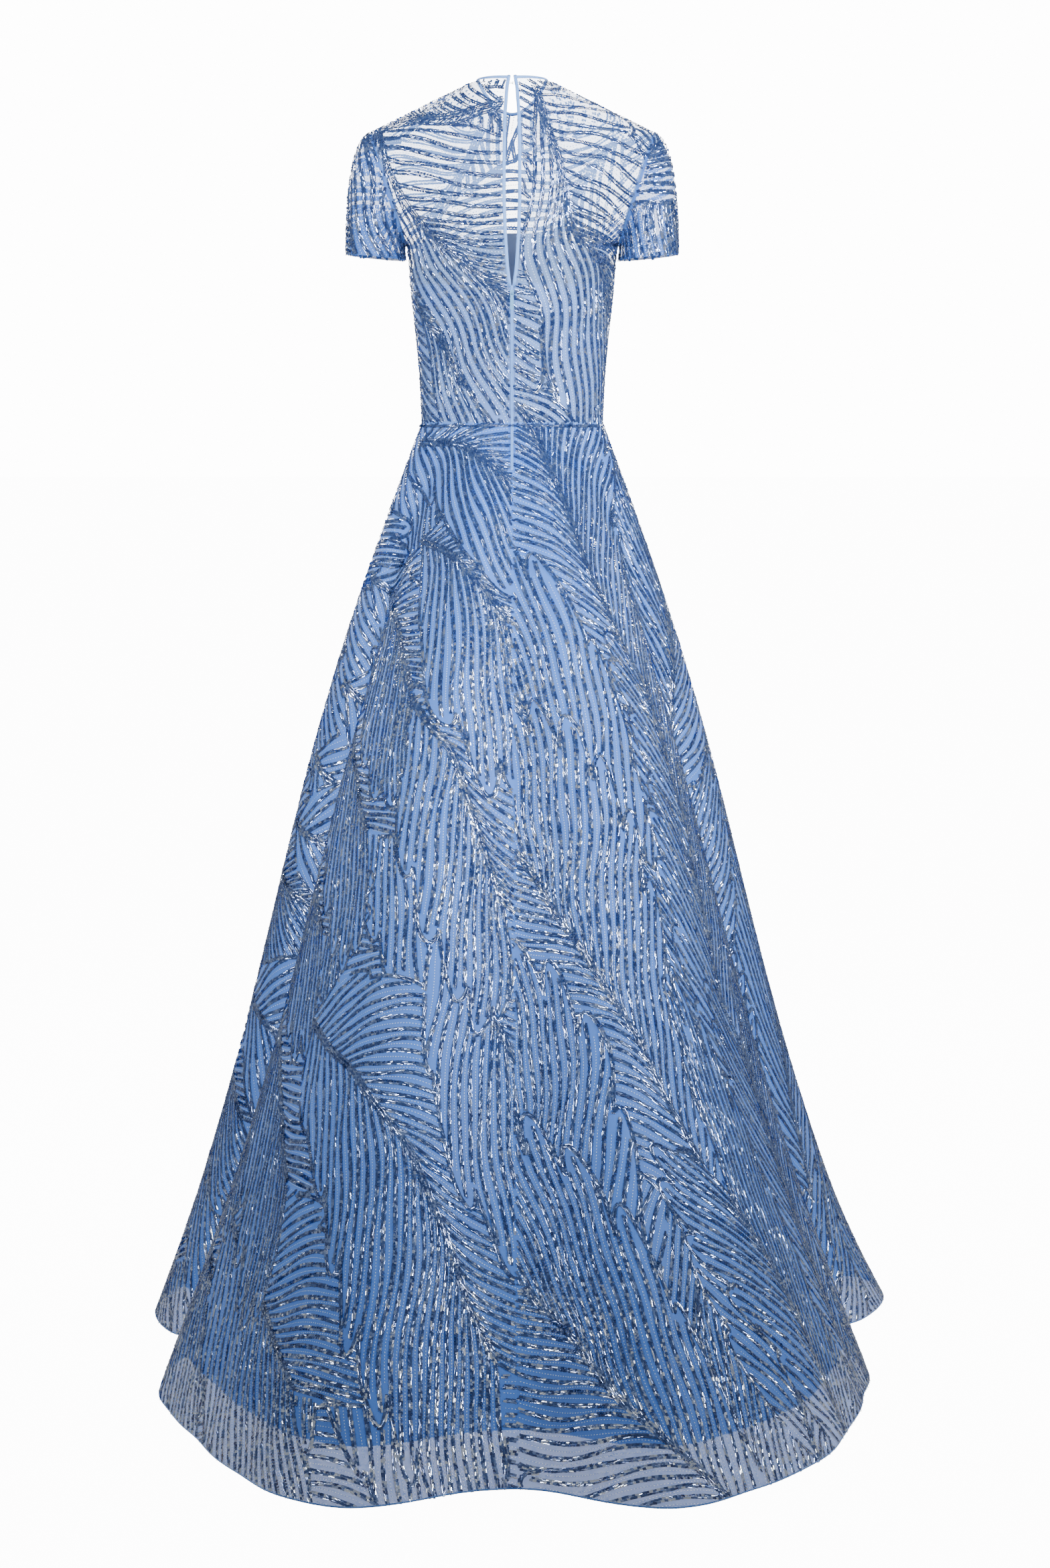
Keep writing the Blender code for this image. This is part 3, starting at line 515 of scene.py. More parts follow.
# Seen from behind, the wearer's left is on the left
PANELS = {
    name: kind(name, surface, u_range, v_range, upright, kind is ColumnPanel)
    for name, kind, surface, u_range, v_range, upright in (
        ("skirt_back_left", Panel, skirt_point, (LEFT_SEAM, 0.0), SKIRT_DROP, 1.0),
        ("skirt_back_right", Panel, skirt_point, (FOLD_COUNT, RIGHT_SEAM), SKIRT_DROP, 0.0),
        ("skirt_front", Panel, skirt_point, (RIGHT_SEAM, LEFT_SEAM), SKIRT_DROP, 0.5),
        ("bodice_back_left", RowPanel, left_back, (SIDE, 0.0), FROM_NECK, 1.0),
        ("bodice_back_right", RowPanel, right_back, (CENTRE, SIDE), FROM_NECK, 0.0),
        ("bodice_front", RowPanel, front, (-SIDE, SIDE), FROM_NECK, 0.5),
        ("sleeve_left", ColumnPanel, left_sleeve, (1.0, 0.0), WHOLE, 0.5),
        ("sleeve_right", ColumnPanel, right_sleeve, (0.0, 1.0), WHOLE, 0.5),
        ("sleeve_hem_left", ColumnPanel, left_sleeve, (1.0, 0.0), HEM, 0.5),
        ("sleeve_hem_right", ColumnPanel, right_sleeve, (0.0, 1.0), HEM, 0.5),
        ("lining_back_left", RowPanel, left_back_lining, (LINING_SIDE, LINING_MID), WHOLE, 1.0),
        ("lining_back_right", RowPanel, right_back_lining, (LINING_MID, LINING_SIDE), WHOLE, 0.0),
        ("lining_front", RowPanel, front_lining, (-FRONT_SIDE, FRONT_SIDE), WHOLE, 0.5),
        ("lining_skirt_back", Panel, skirt_point, BACK_WIDTH, LINING_DROP, 0.5),
        ("lining_skirt_front", Panel, skirt_point, FRONT_WIDTH, LINING_DROP, 0.5),
    )
}


# ---------------------------------------------------------------- node groups
def node_group(name, inputs, outputs):
    """A shader node group with named number sockets, and its input and output nodes."""
    group = bpy.data.node_groups.new(name, "ShaderNodeTree")
    for label, value in inputs.items():
        made = group.interface.new_socket(label, in_out="INPUT", socket_type="NodeSocketFloat")
        made.default_value = value
    for label in outputs:
        group.interface.new_socket(label, in_out="OUTPUT", socket_type="NodeSocketFloat")
    return group, group.nodes.new("NodeGroupInput"), group.nodes.new("NodeGroupOutput")


def feed(tree, target, value):
    """Sets a socket to a number or a colour, or links an output to it."""
    if isinstance(value, (int, float)):
        target.default_value = value
    elif isinstance(value, tuple):
        target.default_value = (*value, 1.0)
    else:
        tree.links.new(value, target)


def maths(tree, operation, *values, clamp=False):
    node = tree.nodes.new("ShaderNodeMath")
    node.operation, node.use_clamp = operation, clamp
    for target, value in zip(node.inputs, values):
        feed(tree, target, value)
    return node.outputs[0]


def blend_colours(tree, factor, first, second, mode="MIX"):
    node = tree.nodes.new("ShaderNodeMix")
    node.data_type, node.blend_type = "RGBA", mode
    for index, value in ((0, factor), (6, first), (7, second)):
        feed(tree, node.inputs[index], value)
    return node.outputs[2]


def map_axes(group):
    """The two directions of the cloth's own map, in metres."""
    split = group.nodes.new("ShaderNodeSeparateXYZ")
    group.links.new(group.nodes.new("ShaderNodeUVMap").outputs[0], split.inputs[0])
    return split.outputs[0], split.outputs[1]


def ripple(group, place, cell, rate=1.0):
    """Even humps along the map, two to a cell."""
    turns = maths(group, "MULTIPLY", maths(group, "DIVIDE", place, cell), 2 * pi * rate)
    return maths(group, "ABSOLUTE", maths(group, "SINE", turns))


def make_net_weave():
    """Fine net of crossing threads."""
    sockets = {"Cell": 0.0011, "Open": 0.16}, ("Thread", "Cover")
    group, given, result = node_group("net_weave", *sockets)
    across, down = map_axes(group)
    waves = []
    for sign in (1.0, -1.0):
        slanted = maths(group, "MULTIPLY_ADD", down, sign, across)
        waves.append(maths(group, "POWER", ripple(group, slanted, given.outputs["Cell"]), 6.0))
    thread = maths(group, "MAXIMUM", *waves)
    cover = maths(group, "MULTIPLY_ADD", thread, 0.22, given.outputs["Open"], clamp=True)
    group.links.new(thread, result.inputs["Thread"])
    group.links.new(cover, result.inputs["Cover"])
    return group


def make_cloth_mottle():
    """Slow change of tone over cloth, from handling and the cloth's own lie."""
    group, given, result = node_group("cloth_mottle", {"Scale": 9.0, "Amount": 0.10}, ("Tone",))
    noise = group.nodes.new("ShaderNodeTexNoise")
    noise.inputs["Detail"].default_value = 3.0
    where = group.nodes.new("ShaderNodeTexCoord")
    group.links.new(where.outputs["Object"], noise.inputs["Vector"])
    group.links.new(given.outputs["Scale"], noise.inputs["Scale"])
    shifted = maths(group, "SUBTRACT", noise.outputs[0], 0.5)
    tone = maths(group, "MULTIPLY_ADD", shifted, given.outputs["Amount"], 1.0)
    group.links.new(tone, result.inputs["Tone"])
    return group


def make_satin_weave():
    """Very fine warp and weft for linings and bindings, as a height."""
    group, given, result = node_group("satin_weave", {"Cell": 0.0009}, ("Height",))
    across, down = map_axes(group)
    warp = ripple(group, across, given.outputs["Cell"])
    weft = ripple(group, down, given.outputs["Cell"], 0.45)
    group.links.new(maths(group, "MULTIPLY", warp, weft), result.inputs["Height"])
    return group


NET_WEAVE, MOTTLE, SATIN_WEAVE = make_net_weave(), make_cloth_mottle(), make_satin_weave()


def place_group(tree, group, **values):
    node = tree.nodes.new("ShaderNodeGroup")
    node.node_tree = group
    for name, value in values.items():
        node.inputs[name].default_value = value
    return node


def plain_material(name, roughness, metallic=0.0, **sockets):
    material = bpy.data.materials.new(name)
    material.use_nodes = True
    shader = material.node_tree.nodes["Principled BSDF"]
    for label, value in {"Roughness": roughness, "Metallic": metallic, **sockets}.items():
        shader.inputs[label.replace("_", " ")].default_value = value
    return material, material.node_tree, shader


def mottled_material(name, colour, scale, amount, *finish, inside=None, **sockets):
    """A finish lightened and darkened a little over the surface. inside is another colour for the
    inner face."""
    material, tree, shader = plain_material(name, *finish, **sockets)
    if inside is not None:
        faced = tree.nodes.new("ShaderNodeNewGeometry")
        colour = blend_colours(tree, faced.outputs["Backfacing"], colour, inside)
    mottle = place_group(tree, MOTTLE, Scale=scale, Amount=amount)
    toned = blend_colours(tree, 1.0, colour, mottle.outputs["Tone"], mode="MULTIPLY")
    tree.links.new(toned, shader.inputs["Base Color"])
    return material, tree, shader


def add_bump(tree, shader, height, strength):
    bump = tree.nodes.new("ShaderNodeBump")
    bump.inputs["Strength"].default_value = strength
    bump.inputs["Distance"].default_value = 0.0002
    tree.links.new(height, bump.inputs["Height"])
    tree.links.new(bump.outputs[0], shader.inputs["Normal"])


def net_material(name, colour, cover):
    material, tree, shader = mottled_material(
        name, colour, 7.0, 0.25, 0.55,
        Sheen_Weight=0.25, Sheen_Roughness=0.4, Sheen_Tint=(0.75, 0.86, 1.0, 1.0),
    )
    weave = place_group(tree, NET_WEAVE, Cell=0.0013, Open=cover)
    tree.links.new(weave.outputs["Cover"], shader.inputs["Alpha"])
    add_bump(tree, shader, weave.outputs["Thread"], 0.3)
    return material


def satin_material(name, colour, roughness, inside=None):
    material, tree, shader = mottled_material(
        name, colour, 6.0, 0.12, roughness, inside=inside,
        Sheen_Weight=0.35, Sheen_Roughness=0.35, Sheen_Tint=(0.80, 0.88, 1.0, 1.0),
    )
    weave = place_group(tree, SATIN_WEAVE, Cell=0.0009)
    add_bump(tree, shader, weave.outputs["Height"], 0.25)
    return material


def sequin_material():
    """Faceted oblong sequins: deep blue with a bright gloss, each a little different, and plain
    underneath. Their tone also holds painted shade and painted light, set by height."""
    material, tree, shader = plain_material(
        "sequins", 0.16, IOR=1.8, Coat_Weight=0.6, Coat_Roughness=0.06
    )
    # This attribute holds each sequin's random tone, with painted shade and painted light by height
    # mixed in
    own = tree.nodes.new("ShaderNodeAttribute")
    own.attribute_name = "tone_and_painted_shade"
    colour, metal = tree.nodes.new("ShaderNodeValToRGB"), tree.nodes.new("ShaderNodeMapRange")
    stops = colour.color_ramp.elements
    stops[0].position, stops[0].color = 0.0, (*SEQUIN_NAVY, 1.0)
    stops[1].position, stops[1].color = 1.0, (*SEQUIN_SILVER, 1.0)
    for position, shade in ((0.40, SEQUIN_BLUE), (0.74, SEQUIN_PALE)):
        stops.new(position).color = (*shade, 1.0)
    metal.inputs["To Min"].default_value, metal.inputs["To Max"].default_value = 0.35, 0.95
    tree.links.new(own.outputs["Fac"], colour.inputs[0])
    tree.links.new(own.outputs["Fac"], metal.inputs["Value"])
    under = tree.nodes.new("ShaderNodeNewGeometry").outputs["Backfacing"]
    above = maths(tree, "SUBTRACT", 1.0, under)
    for label, value in {
        "Base Color": blend_colours(tree, under, colour.outputs[0], SEWN_BLUE),
        "Metallic": maths(tree, "MULTIPLY", metal.outputs[0], above),
        "Coat Weight": maths(tree, "MULTIPLY", above, 0.6),
        "Roughness": maths(tree, "MULTIPLY_ADD", under, 0.45, 0.16),
    }.items():
        tree.links.new(value, shader.inputs[label])
    return material


# Colours, linear
NET_BLUE, NET_PALE, NET_DENSE = (0.065, 0.20, 0.66), (0.24, 0.42, 0.84), (0.09, 0.24, 0.66)
LINING_BLUE, LINING_GREY = (0.11, 0.28, 0.78), (0.30, 0.38, 0.56)
BINDING_BLUE, THREAD_BLUE = (0.16, 0.35, 0.80), (0.50, 0.68, 0.95)
SEQUIN_NAVY, SEQUIN_BLUE = (0.010, 0.028, 0.125), (0.050, 0.105, 0.29)
SEQUIN_PALE, SEQUIN_SILVER = (0.26, 0.36, 0.62), (0.86, 0.90, 0.96)
SEWN_BLUE, ZIP_BLUE, HOOK_DARK = (0.11, 0.24, 0.62), (0.16, 0.38, 0.66), (0.22, 0.22, 0.25)

# The last number is how much of the net's ground is closed
NET = net_material("net", NET_BLUE, 0.93)
NET_DOUBLE = net_material("net_double", NET_DENSE, 0.80)
NET_SHEER = net_material("net_sheer", NET_PALE, 0.40)
NET_SLEEVE = net_material("net_sleeve", NET_BLUE, 0.56)
LINING = satin_material("lining", LINING_BLUE, 0.42, inside=LINING_GREY)
BINDING = satin_material("binding_satin", BINDING_BLUE, 0.5)
ENAMEL = mottled_material("zip_enamel", ZIP_BLUE, 400.0, 0.25, 0.3, 0.3, Coat_Weight=0.4)[0]
WIRE = mottled_material("hook_wire_dark", HOOK_DARK, 900.0, 0.4, 0.3, 1.0)[0]
SEQUINS = sequin_material()
THREAD = mottled_material(
    "chain_stitch", THREAD_BLUE, 60.0, 0.35, 0.5, Sheen_Weight=0.5, Sheen_Roughness=0.3
)[0]


# ---------------------------------------------------------------- cloth pieces
def add_piece(name, mesh_data, material):
    mesh_data.materials.append(material)
    piece = bpy.data.objects.new(name, mesh_data)
    bpy.context.scene.collection.objects.link(piece)
    return piece


def finished(name, mesh, material):
    data = bpy.data.meshes.new(name)
    mesh.to_mesh(data)
    mesh.free()
    data.shade_smooth()
    return add_piece(name, data, material)


def mapped_grid(columns, rows):
    """A grid with room for a map, and its vertices' places across and up, from 0 to 1."""
    mesh = bmesh.new()
    mesh.loops.layers.uv.new("UVMap")
    bmesh.ops.create_grid(mesh, x_segments=columns, y_segments=rows, size=0.5, calc_uvs=True)
    mesh.verts.ensure_lookup_table()
    return mesh, np.array([vert.co[:2] for vert in mesh.verts]) + 0.5


def lay(mesh, points, maps):
    """Moves a grid's vertices to their points on the garment, and maps them."""
    layer = mesh.loops.layers.uv.active
    for face in mesh.faces:
        for loop in face.loops:
            loop[layer].uv = maps[loop.vert.index]
    for vert, point in zip(mesh.verts, points):
        vert.co = point


def panel_cloth(panel, name, out, columns, rows, material):
    """Cloth over a whole panel, a given distance out."""
    mesh, spots = mapped_grid(columns, rows)
    u, v = share_of(panel.u_range, spots[:, 0]), share_of(panel.v_range, 1 - spots[:, 1])
    lay(mesh, panel.frame_at(u, v, out)[0], panel.to_flat(u, v))
    if panel.closed:
        bmesh.ops.remove_doubles(mesh, verts=mesh.verts, dist=1e-5)
    return finished(name, mesh, material)


NET_OUT = 0.0008
CLOTHS = {
    # piece: ending of its name, distance out from the surface, columns, rows, material
    "skirt_back_left": ("_net", NET_OUT, 130, 60, NET),
    "skirt_back_right": ("_net", NET_OUT, 130, 60, NET),
    "skirt_front": ("_net", NET_OUT, 170, 60, NET),
    "bodice_back_left": ("_net", NET_OUT, 36, 60, NET_SHEER),
    "bodice_back_right": ("_net", NET_OUT, 36, 60, NET_SHEER),
    "bodice_front": ("_net", NET_OUT, 72, 60, NET_SHEER),
    "sleeve_left": ("_net", NET_OUT, 72, 20, NET_SLEEVE),
    "sleeve_right": ("_net", NET_OUT, 72, 20, NET_SLEEVE),
    "lining_back_left": ("_cloth", -0.0012, 30, 30, LINING),
    "lining_back_right": ("_cloth", -0.0012, 30, 30, LINING),
    "lining_front": ("_cloth", -0.0024, 64, 40, LINING),
    "lining_skirt_back": ("_cloth", -0.0026, 220, 50, LINING),
    "lining_skirt_front": ("_cloth", -0.0026, 140, 50, LINING),
    "sleeve_hem_left": ("_turning", -0.0004, 72, 6, NET_DOUBLE),
    "sleeve_hem_right": ("_turning", -0.0004, 72, 6, NET_DOUBLE),
}
pieces = {
    name: panel_cloth(PANELS[name], name + ending, *rest)
    for name, (ending, *rest) in CLOTHS.items()
}


# ---------------------------------------------------------------- bindings, zip and seams
def strip(name, middle, across, out, profile, material, ring=False):
    """A band swept along a line. profile gives places across and out, in metres."""
    profile = np.array(profile)
    count, corners = len(middle), len(profile)
    mesh, spots = mapped_grid(corners - 1, count - 1)
    column, row = np.rint(spots * (corners - 1, count - 1)).astype(int).T
    lay(
        mesh,
        middle[row] + across[row] * profile[column, :1] + out[row] * profile[column, 1:],
        np.stack((run_along(profile)[column], run_along(middle)[row]), axis=1),
    )
    bmesh.ops.remove_doubles(mesh, verts=mesh.verts, dist=2e-6)
    if not ring:
        rims = [edge for edge in mesh.edges if edge.is_boundary]
        bmesh.ops.holes_fill(mesh, edges=rims, sides=0)
    bmesh.ops.recalc_face_normals(mesh, faces=mesh.faces)
    return finished(name, mesh, material)


def rounded(width, height, below=0.0, steps=9):
    """Closed section of a soft band: flat beneath, round above."""
    turns = [pi - pi * step / (steps - 1) for step in range(steps)]
    arch = [(cos(turn) * width / 2, below + sin(turn) ** 0.7 * (height - below)) for turn in turns]
    return [*arch, arch[0]]


def cord_section(radius, steps=8):
    turns = [-2 * pi * step / steps for step in range(steps + 1)]
    return [(cos(turn) * radius, sin(turn) * radius) for turn in turns[:-1]] + [(radius, 0.0)]


FOLDED = rounded(BINDING_WIDTH, 0.0023, 0.0002)
SIDE_NAMES = {1: "left", -1: "right"}


def level_at(height):
    """Level of the bodice where the centre back has this height."""
    levels = np.linspace(0, NECK_LEVEL, 400)
    return np.interp(height, open_value(BODICE["back_height"], levels), levels)


def slit_binding(side):
    panel = PANELS["bodice_back_" + SIDE_NAMES[side]]
    level = np.linspace(level_at(SLIT_BOTTOM + 0.0005), NECK_LEVEL, 60)
    side_x = (WAIST_HALF_WIDTH, UNDERARM[0], SHOULDER_TIP[0], NECK_POINT[0])
    edge = np.interp(level, (0, UNDERARM_LEVEL, SHOULDER_LEVEL, NECK_LEVEL), side_x)
    wide = BINDING_WIDTH / (1.62 * edge)
    wobble = 0.00025 * np.sin(level * 9.0 + side)[:, None]
    inner, _ = panel.frame_at(np.full(60, CENTRE), level)
    outer, normal = panel.frame_at(wide, level)
    middle, across = (inner + outer) / 2, unit(outer - inner)
    normal = normal + across * 0.12
    name = "slit_binding_" + SIDE_NAMES[side] + "_fold"
    return strip(name, middle + normal * wobble, across, unit(normal), FOLDED, BINDING)


def neck_binding():
    parts = []
    for name, start, end, count in (
        ("bodice_back_left", 0.004, 0.985, 26),
        ("bodice_front", 0.97, -0.97, 60),
        ("bodice_back_right", 0.985, 0.004, 26),
    ):
        place, edge = np.linspace(start, end, count), np.full(count, NECK_LEVEL)
        low, _ = PANELS[name].frame_at(place, edge - 0.27)
        parts.append((low, *PANELS[name].frame_at(place, edge)))
    low, high, normal = map(np.concatenate, zip(*parts))
    across = unit(high - low)
    middle = high - across * BINDING_WIDTH / 2
    return strip("neck_binding_fold", middle, across, unit(normal), FOLDED, BINDING)


def centre_back(height):
    """Inner face and outward direction at the centre back."""
    near_centre = np.full(len(height), 0.02)
    bodice = PANELS["bodice_back_left"].frame_at(near_centre, level_at(height))
    down = 1 - np.minimum(height, WAIST_HEIGHT) / WAIST_HEIGHT
    skirt = PANELS["skirt_back_left"].frame_at(np.zeros(len(height)), down)
    point, out = np.where((height >= WAIST_HEIGHT)[:, None], bodice, skirt)
    point[:, 0], out[:, 0] = 0.0, 0.0
    return point, unit(out)


def zip_lips():
    """Two soft edges that meet over a covered zip."""
    height = np.linspace(SLIT_BOTTOM + 0.002, ZIP_END - 0.006, 90)
    point, out = centre_back(height)
    lip = [(0.0005, 0.0023), (0.0011, 0.0025), (0.0017, 0.0017), (0.0018, 0.0006)]
    other_lip = [(-across, high) for across, high in reversed(lip)]
    section = [*other_lip, (0.0, 0.0012), *lip, other_lip[0]]
    across = np.tile((1.0, 0.0, 0.0), (len(height), 1))
    return strip("zip_lips", point, across, out, section, BINDING)


def hem_roll():
    place = np.linspace(0.0, FOLD_COUNT, 700)
    point, out = PANELS["skirt_front"].frame_at(place % FOLD_COUNT, np.ones(700), NET_OUT)
    point[:, 2] += 0.0008
    lower = np.tile((0.0, 0.0, 1.0), (700, 1))
    return strip("hem_roll", point, lower, unit(out), cord_section(0.0010), NET_DOUBLE, ring=True)


def waist_seam():
    place = np.linspace(0.0, FOLD_COUNT, 240)
    point, _ = PANELS["skirt_front"].frame_at(place % FOLD_COUNT, np.full(240, SKIRT_DROP[0]))
    out = unit(point * (1.0, 1.2, 0.0))
    up = np.tile((0.0, 0.0, 1.0), (240, 1))
    section = rounded(0.0050, 0.0010, -0.0008)
    return strip("waist_seam", point, up, out, section, NET_DOUBLE, ring=True)


def armhole_seam(side):
    turn = np.linspace(0, 1, 80)
    point, on = (sleeve_point(side, turn, np.full(80, down)) for down in (0.0, 0.05))
    ahead = sleeve_point(side, turn + 1e-3, np.zeros(80)) - point
    across = unit(on - point)
    out = unit(np.cross(unit(ahead), across)) * (-side)
    name, section = "armhole_seam_" + SIDE_NAMES[side], rounded(0.0052, 0.0013, -0.0006)
    return strip(name, point + out * NET_OUT, across, out, section, NET_DOUBLE, ring=True)


trims = {
    "slit_binding_left": slit_binding(1),
    "slit_binding_right": slit_binding(-1),
    "neck_binding": neck_binding(),
    "zip_strip": zip_lips(),
}
seams = {
    "hem_roll": hem_roll(),
    "waist_seam": waist_seam(),
    "left": armhole_seam(1),
    "right": armhole_seam(-1),
}


# ---------------------------------------------------------------- embroidery, laid out flat
ROW_SPACING, BODICE_SPACING = 0.0130, 0.0110
MERGE_LENGTH, MERGE_WIDTH = 0.022, 0.022
SPLAY, BEND = 1.2, 3.2
HIGH_ROWS = 0.30
BEAD_STEP, SHEER_BEAD_STEP, STITCH_STEP = 0.0038, 0.0036, 0.0036
BEAD_SIZE, BEAD_LEAN, ROW_HALF_WIDTH = (0.0044, 0.0027, 0.0006), (0.12, 0.18, 0.25), 0.00135
LOBE, LOBE_DEPTH = 0.068, 0.20
# Bare cloth round a leaf, for beads and for stitches. A row starts so far beside the midrib and
# ends at this share of the blade
MARK_MARGINS, BEADED_RUN, STITCHED_RUN = (0.0032, 0.0045), (0.0016, 0.97), (0.004, 0.92)
# Leaves by panel, in centimetres on the opened-out cloth, x from the straight line and y down from
# the top. Veins leave the midrib at the two angles; the first side is on the left of a leaf as it
# grows. Columns: base x, base y, tip x, tip y, bow, widths of the sides, and angles of the sides
# where they aren't the usual ones
VEIN_ANGLES = (56, 38)
LEAVES = {
    "skirt_back_left": (
        (-12, 4, 1, -9, 0.02, 7, 13),
        (-13, -11, -1, -29, 0.03, 9, 14),
        (-25, -8, -13, -36, 0.02, 6, 11),
        (-16, -31, -1, -66, 0.05, 15, 12),
        (-34, -19, -21, -52, 0.02, 9, 13),
        (-49, -28, -33, -60, 0.03, 13, 12),
        (-11, -67, 2, -88, 0.03, 9, 15),
        (-34, -70, -2, -122, 0.05, 16, 16),
        (-52, -52, -36, -94, 0.03, 12, 13),
        (-70, -40, -52, -76, 0.03, 12, 12),
        (-56, -86, -27, -124, 0.02, 13, 17),
        (-24, -112, 3, -144, 0.03, 12, 15),
        (-76, -66, -52, -104, 0.03, 12, 13),
    ),
    "skirt_back_right": (
        (24, -38, 1, 0, 0.04, 15, 13),
        (18, -59, -2, -36, 0.03, 11, 15),
        (31, -103, 0, -57, 0.04, 15, 15),
        (38, -60, 20, -29, 0.03, 9, 12),
        (17, -121, -2, -91, 0.03, 9, 15),
        (47, -86, 29, -50, 0.03, 12, 13),
        (63, -70, 44, -36, 0.03, 12, 12),
        (64, -104, 42, -70, 0.03, 12, 12),
        (60, -125, 30, -97, -0.04, 12, 15, 48, 30),
        (33, -143, 0, -112, 0.04, 15, 16),
        (82, -98, 60, -62, 0.03, 12, 13),
    ),
    "skirt_front": (),
    "bodice_back_left": (
        (0, -4.4, -16, -6.5, 0.02, 1, 7, 50, 48),
        (-19.5, -5, 1, -29, -0.08, 19, 15, 52, 20),
        (-14, -28, 1, -47, 0.02, 8, 11, 30, 24),
    ),
    "bodice_back_right": (
        (-1.4, -24, -0.4, -39, 0.0, 5.4, 1, 80, 60),
        (2.6, -1, 15, -31, -0.10, 15, 17, 66, 20),
        (-2, -37, 7, -53, 0.03, 7, 8, 28, 20),
    ),
    "bodice_front": (
        (-14, -3, 2, -30, 0.03, 15, 12),
        (4, -2, 17, -30, 0.03, 12, 12),
    ),
    "sleeve_left": ((-3, 2, 13, -9, 0.02, 6, 14, 52, 34), (-16, -2, -4, -14, 0.0, 8, 8, 50, 40)),
    "sleeve_right": ((-17, -8, 1, -1, 0.04, 9, 12, 38, 30), (2, 1, 15, -13, 0.0, 9, 9, 50, 40)),
}
# Between them lie leaves at even places, a little moved and turned at random
SPREAD_X, SPREAD_Y, SPREAD_SLIP, SPREAD_PAST_EDGE = 0.235, 0.30, 0.04, 0.3
SPREAD_ANGLES, SPREAD_LENGTHS, SPREAD_BOWS = (-72, -54), (0.36, 0.46), (-0.02, 0.05)
SPREAD_WIDE, SPREAD_NARROW, TURNED_SHARE = (0.125, 0.165), (0.105, 0.140), 0.12


class Leaf:
    def __init__(self, base, tip, bow, widths, angles, layer, phase):
        self.base, self.bow, self.layer, self.phase = np.array(base), bow, layer, phase
        run = np.array(tip) - self.base
        self.length = float(np.hypot(*run))
        self.along = run / self.length
        self.aside = np.array((-self.along[1], self.along[0]))
        self.sides = {1: (widths[0], radians(angles[0])), -1: (widths[1], radians(angles[1]))}

    def bend(self, along):
        return self.bow * self.length * np.sin(pi * np.clip(along / self.length, 0, 1)) ** 2

    def slant(self, side):
        """Run along the midrib for each step aside, for a row from its base."""
        return 1 / np.tan(self.sides[side][1]) - SPLAY / 2

    def row_at(self, side, start, lateral):
        """How far along the midrib a row that starts here has gone when it is this far aside.
        Rows near the tip lie closer to the midrib, and all bend towards the tip."""
        merge = MERGE_LENGTH * (1 - np.exp(-lateral / MERGE_WIDTH))
        slant = self.slant(side) + SPLAY * start / self.length
        return start + slant * lateral + merge + BEND * lateral**2

    def row_start(self, side, along, lateral):
        """Where the row through a spot starts on the midrib."""
        merge = MERGE_LENGTH * (1 - np.exp(-lateral / MERGE_WIDTH))
        rest = along - self.slant(side) * lateral - merge - BEND * lateral**2
        return rest / (1 + SPLAY * lateral / self.length)

    def reach(self, side, start):
        """Width of the blade for a row that starts here on the midrib, with rounded lobes."""
        place = np.clip(start / self.length, 0, 1) ** 0.8
        lobe = np.abs(np.sin(pi * start / LOBE + self.phase)) ** 0.6
        full = self.sides[side][0] * (4 * place * (1 - place)) ** 0.42
        return full * (1 - LOBE_DEPTH * (1 - lobe))

    def place(self, along, aside):
        """Flat spots from distances along and beside the bowed midrib."""
        aside = aside + self.bend(along)
        return self.base + along[:, None] * self.along + aside[:, None] * self.aside

    def covers(self, spots, margin):
        away = spots - self.base
        along, aside = away @ self.along, away @ self.aside
        aside = aside - self.bend(along)
        covered = np.zeros(len(spots), bool)
        for side in (1, -1):
            lateral = side * aside
            start = self.row_start(side, along, np.maximum(lateral, 0))
            inside = (lateral >= -margin) & (start > 0) & (start < self.length)
            covered |= inside & (lateral < self.reach(side, start) + margin)
        return covered


def bounds_of(panel, more):
    """Lowest and highest flat corner of a panel, some way past its edges."""
    return panel.corners().min(axis=0) - more, panel.corners().max(axis=0) + more


def panel_leaves(panel, table, seed):
    """The listed leaves, and others at a lower layer over the rest of the panel."""
    draw = np.random.default_rng(40 + seed)
    rising = panel.name.endswith("back_right")
    leaves = []
    for row, (x, y, tip_x, tip_y, bow, wide, narrow, *angles) in enumerate(table):
        layer = 2 + (row if rising else -row) * 0.01
        base, tip, widths = np.array(((x, y), (tip_x, tip_y), (wide, narrow))) / 100
        angles = angles or VEIN_ANGLES
        leaves.append(Leaf(base, tip, bow, widths, angles, layer, draw.uniform(0, pi)))
    low, high = bounds_of(panel, SPREAD_PAST_EDGE)
    for column in range(int((high[0] - low[0]) / SPREAD_X) + 1):
        for row in range(int((high[1] - low[1]) / SPREAD_Y) + 1):
            slip = draw.uniform(-SPREAD_SLIP, SPREAD_SLIP, 2)
            x = low[0] + column * SPREAD_X + slip[0]
            y = high[1] - (row + 0.5 * (column % 2)) * SPREAD_Y + slip[1]
            turned = rising != (draw.random() < TURNED_SHARE)
            angle = radians(draw.uniform(*SPREAD_ANGLES) + (180 if turned else 0))
            length = draw.uniform(*SPREAD_LENGTHS)
            tip = (x + cos(angle) * length, y + sin(angle) * length)
            widths = draw.uniform(*SPREAD_WIDE), draw.uniform(*SPREAD_NARROW)
            bow = draw.uniform(*SPREAD_BOWS)
            layer, phase = draw.random(), draw.uniform(0, pi)
            leaves.append(Leaf((x, y), tip, bow, widths, VEIN_ANGLES, layer, phase))
    return leaves


def even_steps(line, step):
    """Places along a line of points, one step apart, with the direction there."""
    lengths = run_along(line)
    if lengths[-1] < 2 * step:
        return np.zeros((0, 4))
    at = np.arange(step / 2, lengths[-1], step)
    spots, on, back = (
        np.stack([np.interp(at + move, lengths, line[:, axis]) for axis in (0, 1)], axis=1)
        for move in (0, 1e-4, -1e-4)
    )
    return np.concatenate((spots, unit(on - back)), axis=1)


